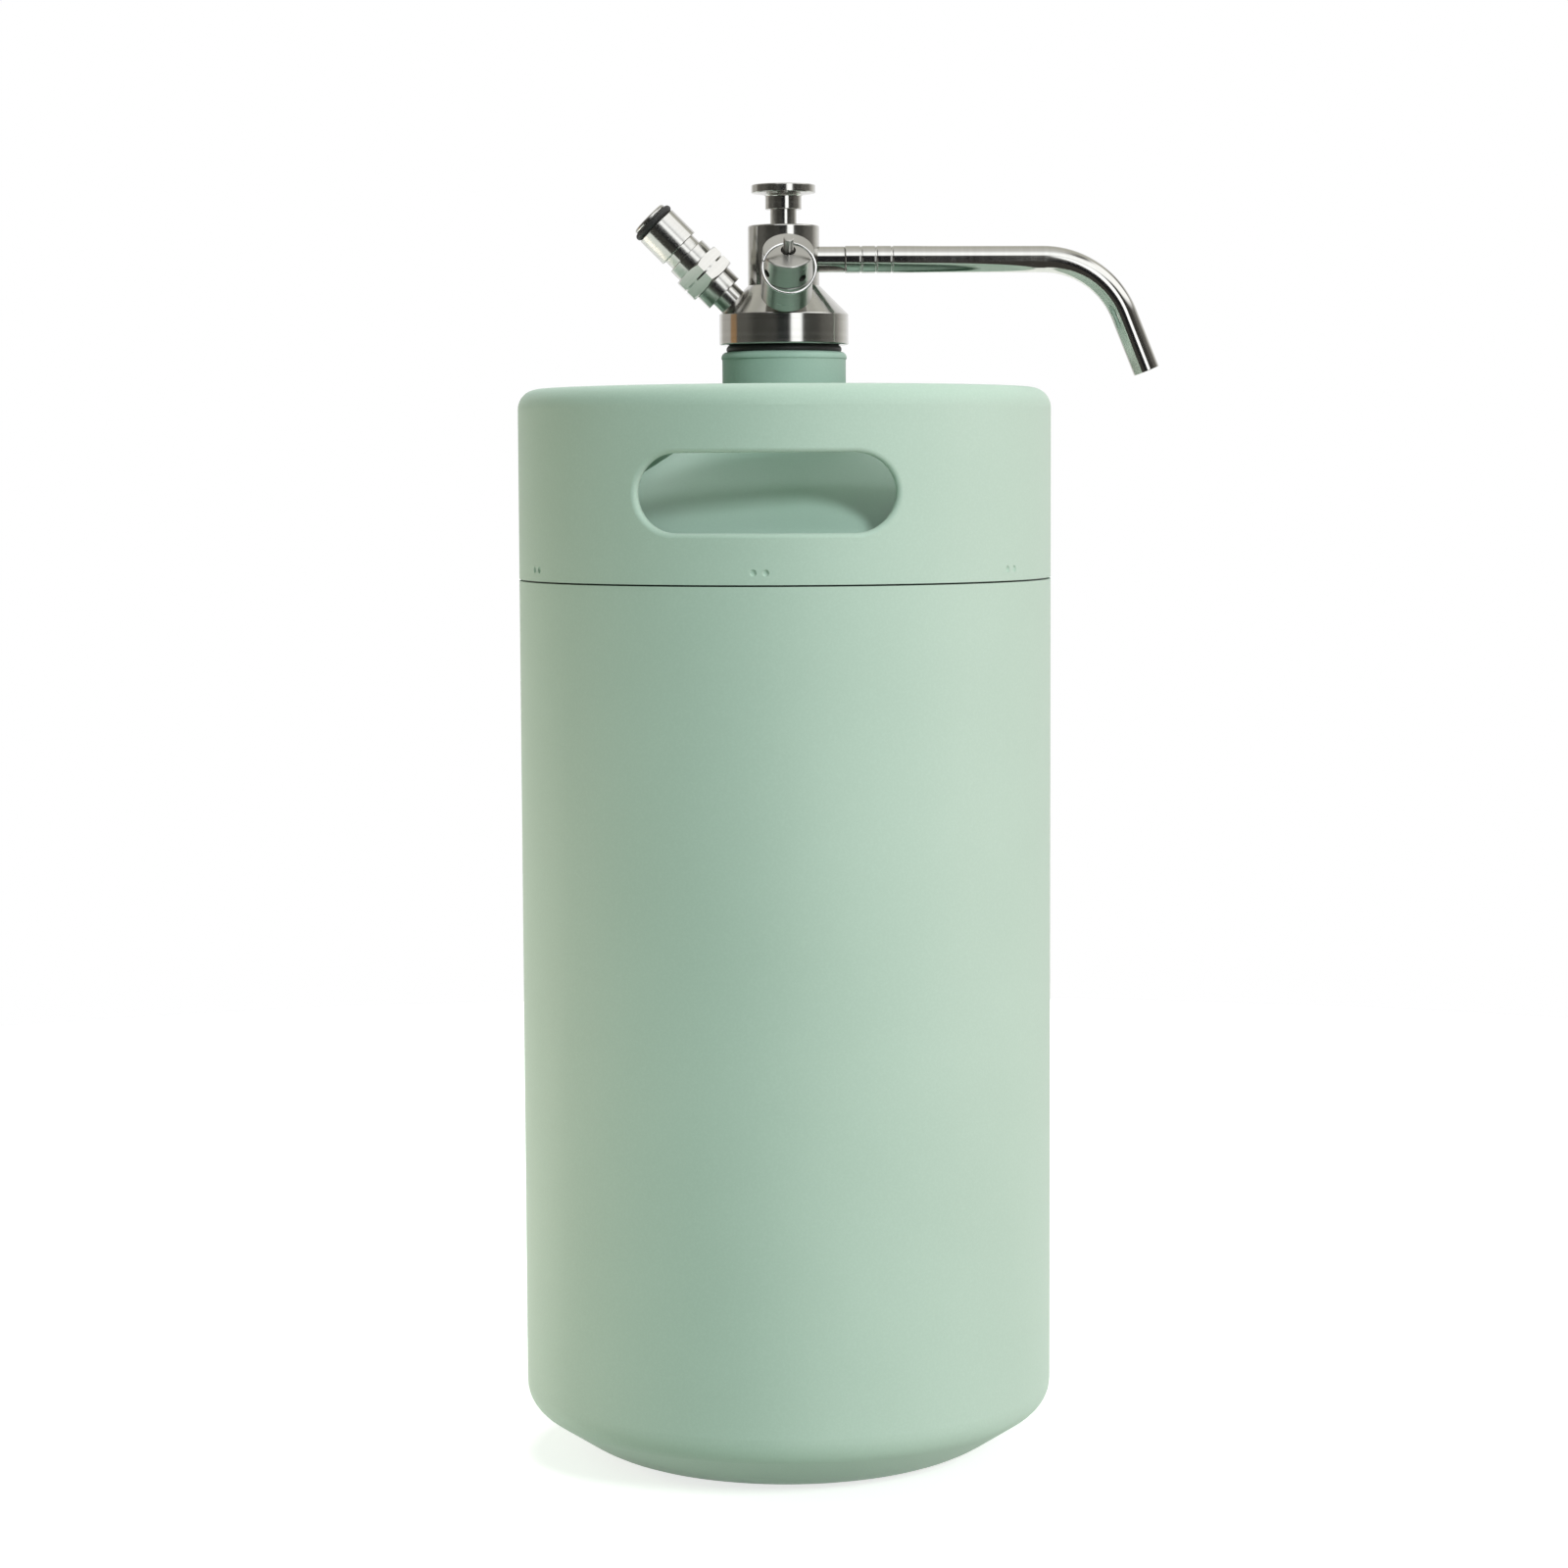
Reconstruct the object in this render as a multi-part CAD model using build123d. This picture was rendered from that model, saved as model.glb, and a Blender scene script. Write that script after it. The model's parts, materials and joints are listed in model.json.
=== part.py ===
from build123d import *

import os
from math import cos, pi, radians, sin, sqrt, tan

# Insulated mini keg with a screw-in tap head: push valve, swivel spout, gas post and relief valve.
# Millimetres, +Z up. The origin is on the floor at the keg's axis, and -Y is the front.

# Fits and cuts
running_gap = 0.05  # radial play of a piece that slides or turns in another
seat_gap = 0.1  # radial play of a pressed, screwed or welded joint
overrun = 2.0  # how far a cut runs past the face that it opens
edge_break = 0.25  # round on the sharp corners of turned pieces

# Outer shell
body_diameter = 184.0
seam_height = 305.4
seam_width = 0.6
sheet_wall = 1.2
base_bevel_height = 18.3
base_bevel_width = 28.0
base_corner_round = 11.0
base_foot_round = 40.0
foot_width = 18.0
recess_round = 2.5
recess_lip_height = 8.0

# Base plate and vacuum plug
plate_height = 4.0
plate_wall = 1.0
plate_rim_height = 3.5
plate_round = 2.0
vacuum_hole_diameter = 4.0
plug_cap_diameter = 12.0
plug_cap_thickness = 1.6
plug_pin_length = 2.4

# Shoulder and neck
skirt_lap = 8.0
skirt_rise = 9.7
shoulder_angle = 32.5
shoulder_round = 8.0
neck_diameter = 42.7
neck_height = 21.1
neck_round = 5.0
lip_diameter = 43.3
lip_thickness = 2.6
lip_top_round = 2.0
lip_foot_round = 0.4
thread_diameter = 36.0
thread_length = 19.6

# Inner liner
vacuum_gap = 8.0
liner_wall = 0.8
liner_neck_bore = 37.2
liner_floor_height = 16.0
liner_drop = 11.0
liner_corner_round = 20.0
liner_neck_round = 6.0

# Handle collar
collar_height = 65.0
collar_top_round = 7.0
rim_width = 22.0
rim_lip_height = 6.0
rim_round = 2.5
slot_rise = 29.6
slot_width = 84.2
slot_height = 26.1
slot_flange_depth = 4.2
slot_edge_round = 1.6
dimple_pairs = 6
dimple_rise = 3.9
dimple_pitch = 4.1
dimple_ball_radius = 1.3
dimple_depth = 0.7
dimple_turn_angle = -0.9

# Tap body
head_turn_angle = 7.0  # the tap head is screwed in a little past square to the slots
gasket_diameter = 39.8
gasket_thickness = 2.4
gasket_play = 0.3
plug_length = 19.4
thread_play = 0.1
tap_collar_diameter = 44.6
tap_collar_height = 10.4
tap_collar_round = 0.5
tower_diameter = 24.7
tower_height = 20.5
tower_round = 0.6

# Push valve inside the tower
press_travel = 4.0
press_margin = 1.5
gland_diameter = 16.0
gland_length = 7.0
stem_diameter = 9.1
stem_guide = 2.0
stem_ring_section = 1.8
chamber_diameter = 12.4
chamber_length = 10.7
seat_diameter = 8.4
seat_thickness = 3.0
valve_bore_diameter = 15.0
stem_pin_diameter = 4.0
poppet_diameter = 12.6
poppet_thickness = 3.2
poppet_seal_thickness = 1.2
return_spring_diameter = 11.0
return_spring_wire = 1.1
return_spring_turns = 5

# Push knob
hub_diameter = 12.5
hub_height = 4.9
knob_diameter = 22.1
knob_thickness = 3.5
knob_slope = 0.7
knob_round = 0.8
knob_rim_round = 0.4
knob_spigot_diameter = 6.0
knob_spigot_length = 5.0

# Dip tube and its holder
holder_length = 20.0
holder_flange_diameter = 19.0
holder_flange_thickness = 4.0
holder_ring_section = 1.4
holder_ring_inset = 5.0
dip_tube_diameter = 8.0
dip_tube_wall = 0.8
dip_tube_insert = 16.0
dip_tube_floor_gap = 6.0

# Outlet stub and swivel spout
spout_drop = 11.5  # from the tower's top to the spout's axis
stub_diameter = 8.96
stub_start = 7.6
stub_reach = 20.8
spigot_length = 19.4
spout_way_diameter = 4.0
spout_ring_section = 1.0
spout_ring_shares = (0.42, 0.7)
spout_diameter = 9.2
spout_wall = 0.85
sleeve_diameter = 9.4
sleeve_length = 20.2
sleeve_groove_width = 1.0
sleeve_groove_depth = 0.3
sleeve_groove_shares = (0.287, 0.547, 0.817)
spout_straight = 69.0
spout_bend_radius = 30.5
spout_bend_angle = 68.0
spout_end_length = 21.1

# The two ports in the cone, square to its face
port_drop = 2.8  # from the tap collar's underside down to where the port axes cross
port_angle = 45.0
port_face_depth = 0.6
port_depth = 6.0
port_thread_diameter = 9.0
port_face_play = 0.6
port_neck_diameter = 10.4
drill_diameter = 3.2

# Gas nipple and post
gas_neck_length = 4.5
gas_flange_diameter = 14.6
gas_flange_thickness = 5.6
gas_way_diameter = 4.4
post_thread_diameter = 12.0
post_thread_length = 6.4
post_thread_relief = 1.0
hex_across_flats = 17.6
hex_length = 8.4
hex_bevel_angle = 30.0
hex_notch_width = 0.7
hex_notch_depth = 1.6
post_collar_diameter = 15.3
post_collar_length = 4.4
ball_groove_diameter = 13.0
ball_groove_length = 3.5
barrel_diameter = 15.4
barrel_length = 11.0
post_ring_section = 2.5
post_ring_proud = 0.2
post_ring_length = 2.7
post_lip_diameter = 13.4
post_lip_length = 1.3
post_lip_round = 0.9
post_cavity_diameter = 9.2
post_end_wall = 4.6
post_mouth_diameter = 6.4
gas_poppet_play = 0.3
gas_poppet_length = 3.6
gas_poppet_inset = 0.4
gas_poppet_stem_diameter = 5.2
gas_seal_thickness = 1.4
gas_spring_diameter = 7.4
gas_spring_wire = 0.8
gas_spring_turns = 6

# Relief valve
relief_diameter = 17.3
relief_neck_length = 2.7
relief_base_length = 10.3
relief_parting = 0.3
relief_cap_length = 9.4
relief_cap_round = 0.5
relief_way_diameter = 4.0
relief_spigot_diameter = 13.2
relief_spigot_length = 2.3
relief_bore_diameter = 9.2
relief_bore_depth = 8.8
relief_end_wall = 1.8
relief_mouth_diameter = 5.1
vent_count = 4
vent_diameter = 2.8
vent_rise = 3.3
vent_twist_angle = -11.5
relief_stem_diameter = 3.6
relief_stem_reach = 5.5
relief_stem_round = 0.4
relief_disc_diameter = 8.4
relief_disc_thickness = 1.3
relief_seal_diameter = 7.6
relief_seal_thickness = 1.1
relief_spring_diameter = 7.0
relief_spring_wire = 0.9
relief_spring_turns = 6

# Pull ring
pull_ring_diameter = 18.8
pull_ring_wire = 1.0
pull_ring_hole_diameter = 1.8
pull_ring_hole_inset = 2.4
pull_ring_lean_angle = 18.0
pull_ring_split_angle = 165.0
pull_ring_split = 0.6

# Levels and radii worked out from the sizes above
body_radius = body_diameter / 2
skirt_radius = body_radius - sheet_wall - seat_gap
recess_radius = body_radius - base_bevel_width - foot_width
neck_radius = neck_diameter / 2
shoulder_slope = tan(radians(shoulder_angle))
skirt_corner = seam_height + skirt_rise
neck_corner = skirt_corner + (skirt_radius - neck_radius) * shoulder_slope
sleeve_top = neck_corner + neck_height
lip_top = sleeve_top + lip_thickness
ring_bottom = sleeve_top - thread_length
collar_top = seam_height + collar_height
slot_centre = seam_height + slot_rise

tap_collar_base = lip_top + gasket_thickness
cone_base = tap_collar_base + tap_collar_height
tower_base = cone_base + (tap_collar_diameter - tower_diameter) / 2
tower_top = tower_base + tower_height
plug_bottom = tap_collar_base - plug_length
gland_base = tower_top - gland_length
seat_top = gland_base - chamber_length
seat_base = seat_top - seat_thickness
poppet_top = seat_base - poppet_seal_thickness
poppet_base = poppet_top - poppet_thickness
holder_top = plug_bottom + holder_length
holder_base = plug_bottom - holder_flange_thickness
dip_tube_top = holder_base + dip_tube_insert
hub_base = tower_top + press_travel + press_margin
spout_level = tower_top - spout_drop

port_level = tap_collar_base - port_drop
port_face = (tap_collar_diameter / 2 + cone_base - port_level) / sqrt(2) - port_face_depth
port_bottom = port_face - port_depth

# Where the head's pieces stand: about the keg's axis, along the spout and along the two ports
head = Rot(0, 0, head_turn_angle)
spout_axis = Plane(origin=(0, 0, spout_level), x_dir=(0, 1, 0), z_dir=(1, 0, 0)).location
gas_axis = Plane(origin=(0, 0, port_level), x_dir=(0, 1, 0), z_dir=(-1, 0, 1)).location
relief_axis = Plane(origin=(0, 0, port_level), x_dir=(1, 0, 0), z_dir=(0, -1, 1)).location


# Solid turned about Z from the (radius, height) corners of its outline
def turned(corners, rounds=0):
    outline = FilletPolyline(*corners, radius=rounds, close=True)
    return revolve(Plane.XZ * make_face(outline), Axis.Z)


# Sheet metal turned about Z from the corners of one side, with its wall to the left of that line
def spun(corners, rounds, wall):
    line = FilletPolyline(*corners, radius=rounds)
    section = make_face(line.offset_2d(wall, side=Side.LEFT).edges())
    return revolve(Plane.XZ * section, Axis.Z)


# Ring or tube about Z, given by its diameters and its two ends
def tube(outer, bore, start, end):
    return turned([(bore / 2, start), (outer / 2, start), (outer / 2, end), (bore / 2, end)])


# Solid round bar about Z
def bar(diameter, start, end):
    return Pos(0, 0, start) * Cylinder(
        diameter / 2, end - start, align=(Align.CENTER, Align.CENTER, Align.MIN)
    )


# O-ring about Z that fits inside an outer diameter
def o_ring(outer, section, height):
    return Pos(0, 0, height) * Torus((outer - section) / 2, section / 2)


# Helix of wire that stands on start and reaches to end, on two arcs for each quarter turn
def coil(outer, wire, start, end, turns):
    radius = (outer - wire) / 2
    climb = (end - start - wire) / (turns * 2 * pi)

    def point(angle):
        return Vector(radius * cos(angle), radius * sin(angle), start + wire / 2 + climb * angle)

    def heading(angle):
        return Vector(-radius * sin(angle), radius * cos(angle), climb).normalized()

    edges = []
    quarter = pi / 2
    for step in range(turns * 4):
        first, last = step * quarter, (step + 1) * quarter
        out, back = heading(first), heading(last)
        span = point(last) - point(first)
        bend = 2 * (1 - out.dot(back))
        along = span.dot(out + back)
        reach = (sqrt(along**2 + bend * span.dot(span)) - along) / bend
        leave, arrive = point(first) + out * reach, point(last) - back * reach
        middle = (leave + arrive) * 0.5
        edges.append(Edge.make_tangent_arc(point(first), out, middle))
        edges.append(Edge.make_tangent_arc(middle, arrive - leave, point(last)))
    path = Wire(edges)
    return sweep(Plane(origin=path @ 0, z_dir=path % 0) * Circle(wire / 2), path)


# Keg wall, bevelled base, foot and upturned lip, in one pressed sheet
def outer_shell():
    corners = [
        (recess_radius, recess_lip_height),
        (recess_radius, 0),
        (recess_radius + foot_width, 0),
        (body_radius, base_bevel_height),
        (body_radius, seam_height - seam_width),
    ]
    return spun(corners, [recess_round, base_foot_round, base_corner_round], sheet_wall)


# Dished plate that closes the recess in the base
def base_plate():
    plate_radius = recess_radius - seat_gap
    corners = [
        (vacuum_hole_diameter / 2, plate_height),
        (plate_radius, plate_height),
        (plate_radius, plate_height + plate_rim_height),
    ]
    return spun(corners, [plate_round], plate_wall)


# Plug that seals the hole through which the wall was emptied of air
def vacuum_plug():
    cap = bar(plug_cap_diameter, plate_height - plug_cap_thickness, plate_height)
    pin = bar(vacuum_hole_diameter - 2 * seat_gap, plate_height, plate_height + plug_pin_length)
    return cap + pin


# Skirt inside the shell and the collar, cone and neck sleeve
def shoulder():
    corners = [
        (skirt_radius, seam_height - skirt_lap),
        (skirt_radius, skirt_corner),
        (neck_radius, neck_corner),
        (neck_radius, sleeve_top),
    ]
    return spun(corners, [shoulder_round, neck_round], sheet_wall)


# Drink vessel, hung from the neck ring with a vacuum gap all round
def inner_liner():
    liner_radius = body_radius - sheet_wall - vacuum_gap
    liner_neck_radius = liner_neck_bore / 2 + liner_wall
    liner_corner = skirt_corner + (skirt_radius - liner_radius) * shoulder_slope - liner_drop
    corners = [
        (0, liner_floor_height),
        (liner_radius, liner_floor_height),
        (liner_radius, liner_corner),
        (liner_neck_radius, liner_corner + (liner_radius - liner_neck_radius) * shoulder_slope),
        (liner_neck_radius, ring_bottom),
    ]
    return spun(corners, [liner_corner_round, liner_corner_round, liner_neck_round], liner_wall)


# Ring that joins sleeve and liner and takes the head's thread
def neck_ring():
    sleeve_bore_radius = neck_radius - sheet_wall
    corners = [
        (thread_diameter / 2, ring_bottom),
        (sleeve_bore_radius - seat_gap, ring_bottom),
        (sleeve_bore_radius - seat_gap, sleeve_top),
        (lip_diameter / 2, sleeve_top),
        (lip_diameter / 2, lip_top),
        (thread_diameter / 2, lip_top),
    ]
    return turned(corners, [0, 0, 0, lip_foot_round, lip_top_round, 0])


# Hand slot through the collar's front and back walls, as a bar along Y
def slot_bar(widening):
    profile = SlotOverall(slot_width + 2 * widening, slot_height + 2 * widening)
    return Pos(0, 0, slot_centre) * extrude(Plane.XZ * profile, amount=body_diameter, both=True)


# Shares of an edge's length at which its distance from the axis is read
edge_shares = (0, 0.25, 0.5, 0.75, 1)


# Distance of a point from the keg's axis
def axis_distance(point):
    return sqrt(point.X**2 + point.Y**2)


# Collar with a rolled rim, two flanged hand slots and pairs of punched dimples
def handle_collar():
    rim_radius = body_radius - rim_width
    corners = [
        (body_radius, seam_height),
        (body_radius, collar_top),
        (rim_radius, collar_top),
        (rim_radius, collar_top - rim_lip_height),
    ]
    wall = spun(corners, [collar_top_round, rim_round], sheet_wall)
    flange_bore = body_diameter - 2 * slot_flange_depth
    band_base = slot_centre - slot_height
    band = tube(body_diameter, flange_bore, band_base, slot_centre + slot_height)
    flange = band & (slot_bar(sheet_wall) - slot_bar(0))
    collar = (wall - slot_bar(0)) + flange
    slot_edges = collar.edges().filter_by(
        lambda edge: abs(edge.center().Z - slot_centre) < slot_height
        and all(abs(axis_distance(edge @ share) - body_radius) < seat_gap for share in edge_shares)
    )
    collar = fillet(slot_edges, slot_edge_round)
    for ball in dimple_balls():
        collar -= ball
    return collar


# Balls that sink the dimples, in pairs spaced evenly from the front
def dimple_balls():
    ball_radius = body_radius - dimple_depth + dimple_ball_radius
    half_pitch_angle = dimple_pitch / body_diameter * 180 / pi
    balls = []
    for pair in range(dimple_pairs):
        for side in (-1, 1):
            turn = 360 / dimple_pairs * pair - 90 + dimple_turn_angle + side * half_pitch_angle
            place = Rot(0, 0, turn) * Pos(ball_radius, 0, seam_height + dimple_rise)
            balls.append(place * Sphere(dimple_ball_radius))
    return balls


# Gasket between the neck's lip and the tap collar
def neck_gasket():
    return tube(gasket_diameter, thread_diameter + 2 * gasket_play, lip_top, tap_collar_base)


# Plug, collar, cone and tower, bored for the valve, the outlet and the two ports
def tap_body():
    plug_radius = thread_diameter / 2 - thread_play
    corners = [
        (valve_bore_diameter / 2, plug_bottom),
        (plug_radius, plug_bottom),
        (plug_radius, tap_collar_base),
        (tap_collar_diameter / 2, tap_collar_base),
        (tap_collar_diameter / 2, cone_base),
        (tower_diameter / 2, tower_base),
        (tower_diameter / 2, tower_top),
        (gland_diameter / 2, tower_top),
        (gland_diameter / 2, gland_base),
        (chamber_diameter / 2, gland_base),
        (chamber_diameter / 2, seat_top),
        (seat_diameter / 2, seat_top),
        (seat_diameter / 2, seat_base),
        (valve_bore_diameter / 2, seat_base),
    ]
    rounds = [0] * len(corners)
    rounds[3] = rounds[4] = tap_collar_round
    rounds[6] = tower_round
    body = turned(corners, rounds)
    body -= spout_axis * bar(spout_way_diameter, 0, stub_reach)
    body -= spout_axis * bar(stub_diameter + 2 * seat_gap, stub_start, stub_reach)
    reach = port_bottom * sin(radians(port_angle))
    drill = bar(drill_diameter, plug_bottom - overrun, port_level + reach)
    for axis, side in ((gas_axis, Pos(-reach, 0, 0)), (relief_axis, Pos(0, -reach, 0))):
        body -= axis * bar(port_thread_diameter + 2 * seat_gap, port_bottom, port_face)
        body -= axis * bar(port_neck_diameter + 2 * port_face_play, port_face, port_face + overrun)
        body -= side * drill
    return body


# Bush that guides the stem, with a groove for its O-ring
def gland_bush():
    bore_radius = stem_diameter / 2 + running_gap
    groove_radius = stem_diameter / 2 + stem_ring_section + seat_gap
    middle = (gland_base + tower_top) / 2
    half_groove = stem_ring_section / 2 + seat_gap
    corners = [
        (bore_radius, gland_base),
        (gland_diameter / 2 - seat_gap, gland_base),
        (gland_diameter / 2 - seat_gap, tower_top),
        (bore_radius, tower_top),
        (bore_radius, middle + half_groove),
        (groove_radius, middle + half_groove),
        (groove_radius, middle - half_groove),
        (bore_radius, middle - half_groove),
    ]
    return turned(corners)


# O-ring round the stem
def stem_o_ring():
    outer = stem_diameter + 2 * (running_gap + stem_ring_section)
    return o_ring(outer, stem_ring_section, (gland_base + tower_top) / 2)


# Stem from the poppet up into the knob
def plunger_stem():
    pin_radius = stem_pin_diameter / 2
    stem_radius = stem_diameter / 2
    spigot_radius = knob_spigot_diameter / 2
    shoulder_level = gland_base - stem_guide
    corners = [
        (0, poppet_base),
        (pin_radius, poppet_base),
        (pin_radius, shoulder_level),
        (stem_radius, shoulder_level),
        (stem_radius, hub_base),
        (spigot_radius, hub_base),
        (spigot_radius, hub_base + knob_spigot_length),
        (0, hub_base + knob_spigot_length),
    ]
    return turned(corners)


# Hub and flat head that the thumb presses
def push_knob():
    hub_top = hub_base + hub_height
    knob_top = hub_top + knob_thickness
    hole_radius = knob_spigot_diameter / 2 + seat_gap
    hole_top = hub_base + knob_spigot_length
    corners = [
        (0, hole_top),
        (hole_radius, hole_top),
        (hole_radius, hub_base),
        (hub_diameter / 2, hub_base),
        (hub_diameter / 2, hub_top),
        (knob_diameter / 2, hub_top + knob_slope),
        (knob_diameter / 2, knob_top),
        (0, knob_top),
    ]
    rounds = [0, 0, 0, edge_break, knob_round, knob_rim_round, knob_rim_round, 0]
    return turned(corners, rounds)


# Disc on the stem's lower end, and the rubber washer that closes on the seat above it
def valve_poppet():
    return tube(poppet_diameter, stem_pin_diameter + 2 * seat_gap, poppet_base, poppet_top)


def poppet_seal():
    return tube(poppet_diameter, stem_pin_diameter + 2 * seat_gap, poppet_top, seat_base)


# Spring that stands on the holder and lifts the poppet to its seat
def return_spring():
    return coil(return_spring_diameter, return_spring_wire, holder_top, poppet_base, return_spring_turns)


# Holder screwed in from below, with the dip tube's socket and a groove for its O-ring
def dip_tube_holder():
    socket_radius = dip_tube_diameter / 2 + seat_gap
    holder_radius = valve_bore_diameter / 2 - seat_gap
    groove_radius = holder_radius - holder_ring_section
    way_radius = dip_tube_diameter / 2 - dip_tube_wall
    ring_level = holder_top - holder_ring_inset
    half_groove = holder_ring_section / 2 + seat_gap
    corners = [
        (socket_radius, holder_base),
        (holder_flange_diameter / 2, holder_base),
        (holder_flange_diameter / 2, plug_bottom),
        (holder_radius, plug_bottom),
        (holder_radius, ring_level - half_groove),
        (groove_radius, ring_level - half_groove),
        (groove_radius, ring_level + half_groove),
        (holder_radius, ring_level + half_groove),
        (holder_radius, holder_top),
        (way_radius, holder_top),
        (way_radius, dip_tube_top),
        (socket_radius, dip_tube_top),
    ]
    return turned(corners)


# O-ring round the holder
def holder_o_ring():
    outer = valve_bore_diameter - 2 * running_gap
    return o_ring(outer, holder_ring_section, holder_top - holder_ring_inset)


# Tube from the holder down to just above the liner's floor
def dip_tube():
    foot = liner_floor_height + liner_wall + dip_tube_floor_gap
    return tube(dip_tube_diameter, dip_tube_diameter - 2 * dip_tube_wall, foot, dip_tube_top)


# Where the O-rings of the spout's spigot lie
spout_bore = spout_diameter - 2 * spout_wall
spigot_diameter = spout_bore - 2 * running_gap
spout_ring_levels = [stub_reach + spigot_length * share for share in spout_ring_shares]


# Stub pressed into the tower, with the spigot that the spout turns on
def outlet_stub():
    stub = tube(stub_diameter, spout_way_diameter, stub_start, stub_reach)
    stub += tube(spigot_diameter, spout_way_diameter, stub_reach, stub_reach + spigot_length)
    half_groove = spout_ring_section / 2 + seat_gap
    floor_diameter = spigot_diameter - 2 * spout_ring_section
    for level in spout_ring_levels:
        stub -= tube(spigot_diameter + overrun, floor_diameter, level - half_groove, level + half_groove)
    return spout_axis * stub


# Pair of O-rings on the spigot
def spout_o_rings():
    rings = [o_ring(spigot_diameter, spout_ring_section, level) for level in spout_ring_levels]
    return spout_axis * Compound(children=rings)


# Spout: sleeve with rolled grooves, straight run, bend and downward end
def spout_tube():
    start = stub_reach + running_gap
    bend_start = (stub_reach + spout_straight, spout_level)
    run = Line((start, spout_level), bend_start)
    bend = JernArc(bend_start, (1, 0), spout_bend_radius, -spout_bend_angle)
    end = Line(bend @ 1, (bend @ 1) + (bend % 1) * spout_end_length)
    path = Plane.XZ * Wire([run, bend, end])
    section = Circle(spout_diameter / 2) - Circle(spout_bore / 2)
    spout = sweep(Plane(origin=path @ 0, z_dir=path % 0) * section, path)
    sleeve = tube(sleeve_diameter, spout_diameter, start, start + sleeve_length)
    half_groove = sleeve_groove_width / 2
    floor_diameter = sleeve_diameter - 2 * sleeve_groove_depth
    for share in sleeve_groove_shares:
        level = start + sleeve_length * share
        ring = tube(sleeve_diameter + overrun, floor_diameter, level - half_groove, level + half_groove)
        sleeve -= ring
        spout -= spout_axis * ring
    return spout + spout_axis * sleeve


# Levels along the gas port's axis, counted from where the port axes cross
gas_flange_base = port_face + gas_neck_length
hex_base = gas_flange_base + gas_flange_thickness
hex_top = hex_base + hex_length
post_collar_top = hex_top + post_collar_length
barrel_base = post_collar_top + ball_groove_length
barrel_top = barrel_base + barrel_length
post_ring_top = barrel_top + post_ring_length
post_top = post_ring_top + post_lip_length
nipple_top = hex_base + post_thread_length
cavity_base = nipple_top + post_thread_relief
cavity_top = post_top - post_end_wall
gas_poppet_top = cavity_top - gas_seal_thickness
gas_poppet_base = gas_poppet_top - gas_poppet_length
gas_poppet_diameter = post_cavity_diameter - 2 * gas_poppet_play


# Nipple between the tap body and the gas post
def gas_nipple():
    way_radius = gas_way_diameter / 2
    corners = [
        (way_radius, port_bottom),
        (port_thread_diameter / 2, port_bottom),
        (port_thread_diameter / 2, port_face),
        (port_neck_diameter / 2, port_face),
        (port_neck_diameter / 2, gas_flange_base),
        (gas_flange_diameter / 2, gas_flange_base),
        (gas_flange_diameter / 2, hex_base),
        (post_thread_diameter / 2, hex_base),
        (post_thread_diameter / 2, nipple_top),
        (way_radius, nipple_top),
    ]
    rounds = [0] * len(corners)
    rounds[5] = rounds[6] = edge_break
    return gas_axis * turned(corners, rounds)


# Hexagon with bevelled ends and a notch across its corners
def post_hexagon():
    corner_radius = hex_across_flats / 2 / cos(pi / 6)
    bevel_width = corner_radius - hex_across_flats / 2
    bevel_height = bevel_width * tan(radians(hex_bevel_angle))
    middle = (hex_base + hex_top) / 2
    half_notch = hex_notch_width / 2
    prism = extrude(RegularPolygon(hex_across_flats / 2, 6, major_radius=False), hex_length)
    blank = turned(
        [
            (0, hex_base),
            (corner_radius - bevel_width, hex_base),
            (corner_radius, hex_base + bevel_height),
            (corner_radius, middle - half_notch),
            (corner_radius - hex_notch_depth, middle - half_notch),
            (corner_radius - hex_notch_depth, middle + half_notch),
            (corner_radius, middle + half_notch),
            (corner_radius, hex_top - bevel_height),
            (corner_radius - bevel_width, hex_top),
            (0, hex_top),
        ]
    )
    return blank & (Pos(0, 0, hex_base) * prism)


# Quick-connect post: hexagon, ball groove, barrel, O-ring groove and lip, bored for its poppet
def gas_post():
    ring_floor = barrel_diameter / 2 + post_ring_proud - post_ring_section
    corners = [
        (0, hex_top),
        (post_collar_diameter / 2, hex_top),
        (post_collar_diameter / 2, post_collar_top),
        (ball_groove_diameter / 2, post_collar_top),
        (ball_groove_diameter / 2, barrel_base),
        (barrel_diameter / 2, barrel_base),
        (barrel_diameter / 2, barrel_top),
        (ring_floor, barrel_top),
        (ring_floor, post_ring_top),
        (post_lip_diameter / 2, post_ring_top),
        (post_lip_diameter / 2, post_top),
        (0, post_top),
    ]
    rounds = [0] * len(corners)
    rounds[2] = rounds[5] = rounds[6] = rounds[9] = edge_break
    rounds[10] = post_lip_round
    post = post_hexagon() + turned(corners, rounds)
    post -= bar(post_thread_diameter + 2 * seat_gap, hex_base - overrun, cavity_base)
    post -= bar(post_cavity_diameter, cavity_base, cavity_top)
    post -= bar(post_mouth_diameter, cavity_top, post_top + overrun)
    return gas_axis * post


# O-ring round the post, standing a little proud of the barrel
def gas_post_o_ring():
    outer = barrel_diameter + 2 * post_ring_proud
    return gas_axis * o_ring(outer, post_ring_section, (barrel_top + post_ring_top) / 2)


# Poppet that closes the post's mouth, with its seal and spring
def gas_poppet():
    stem_radius = gas_poppet_stem_diameter / 2
    corners = [
        (0, gas_poppet_base),
        (gas_poppet_diameter / 2, gas_poppet_base),
        (gas_poppet_diameter / 2, gas_poppet_top),
        (stem_radius, gas_poppet_top),
        (stem_radius, post_top - gas_poppet_inset),
        (0, post_top - gas_poppet_inset),
    ]
    return gas_axis * turned(corners)


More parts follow.
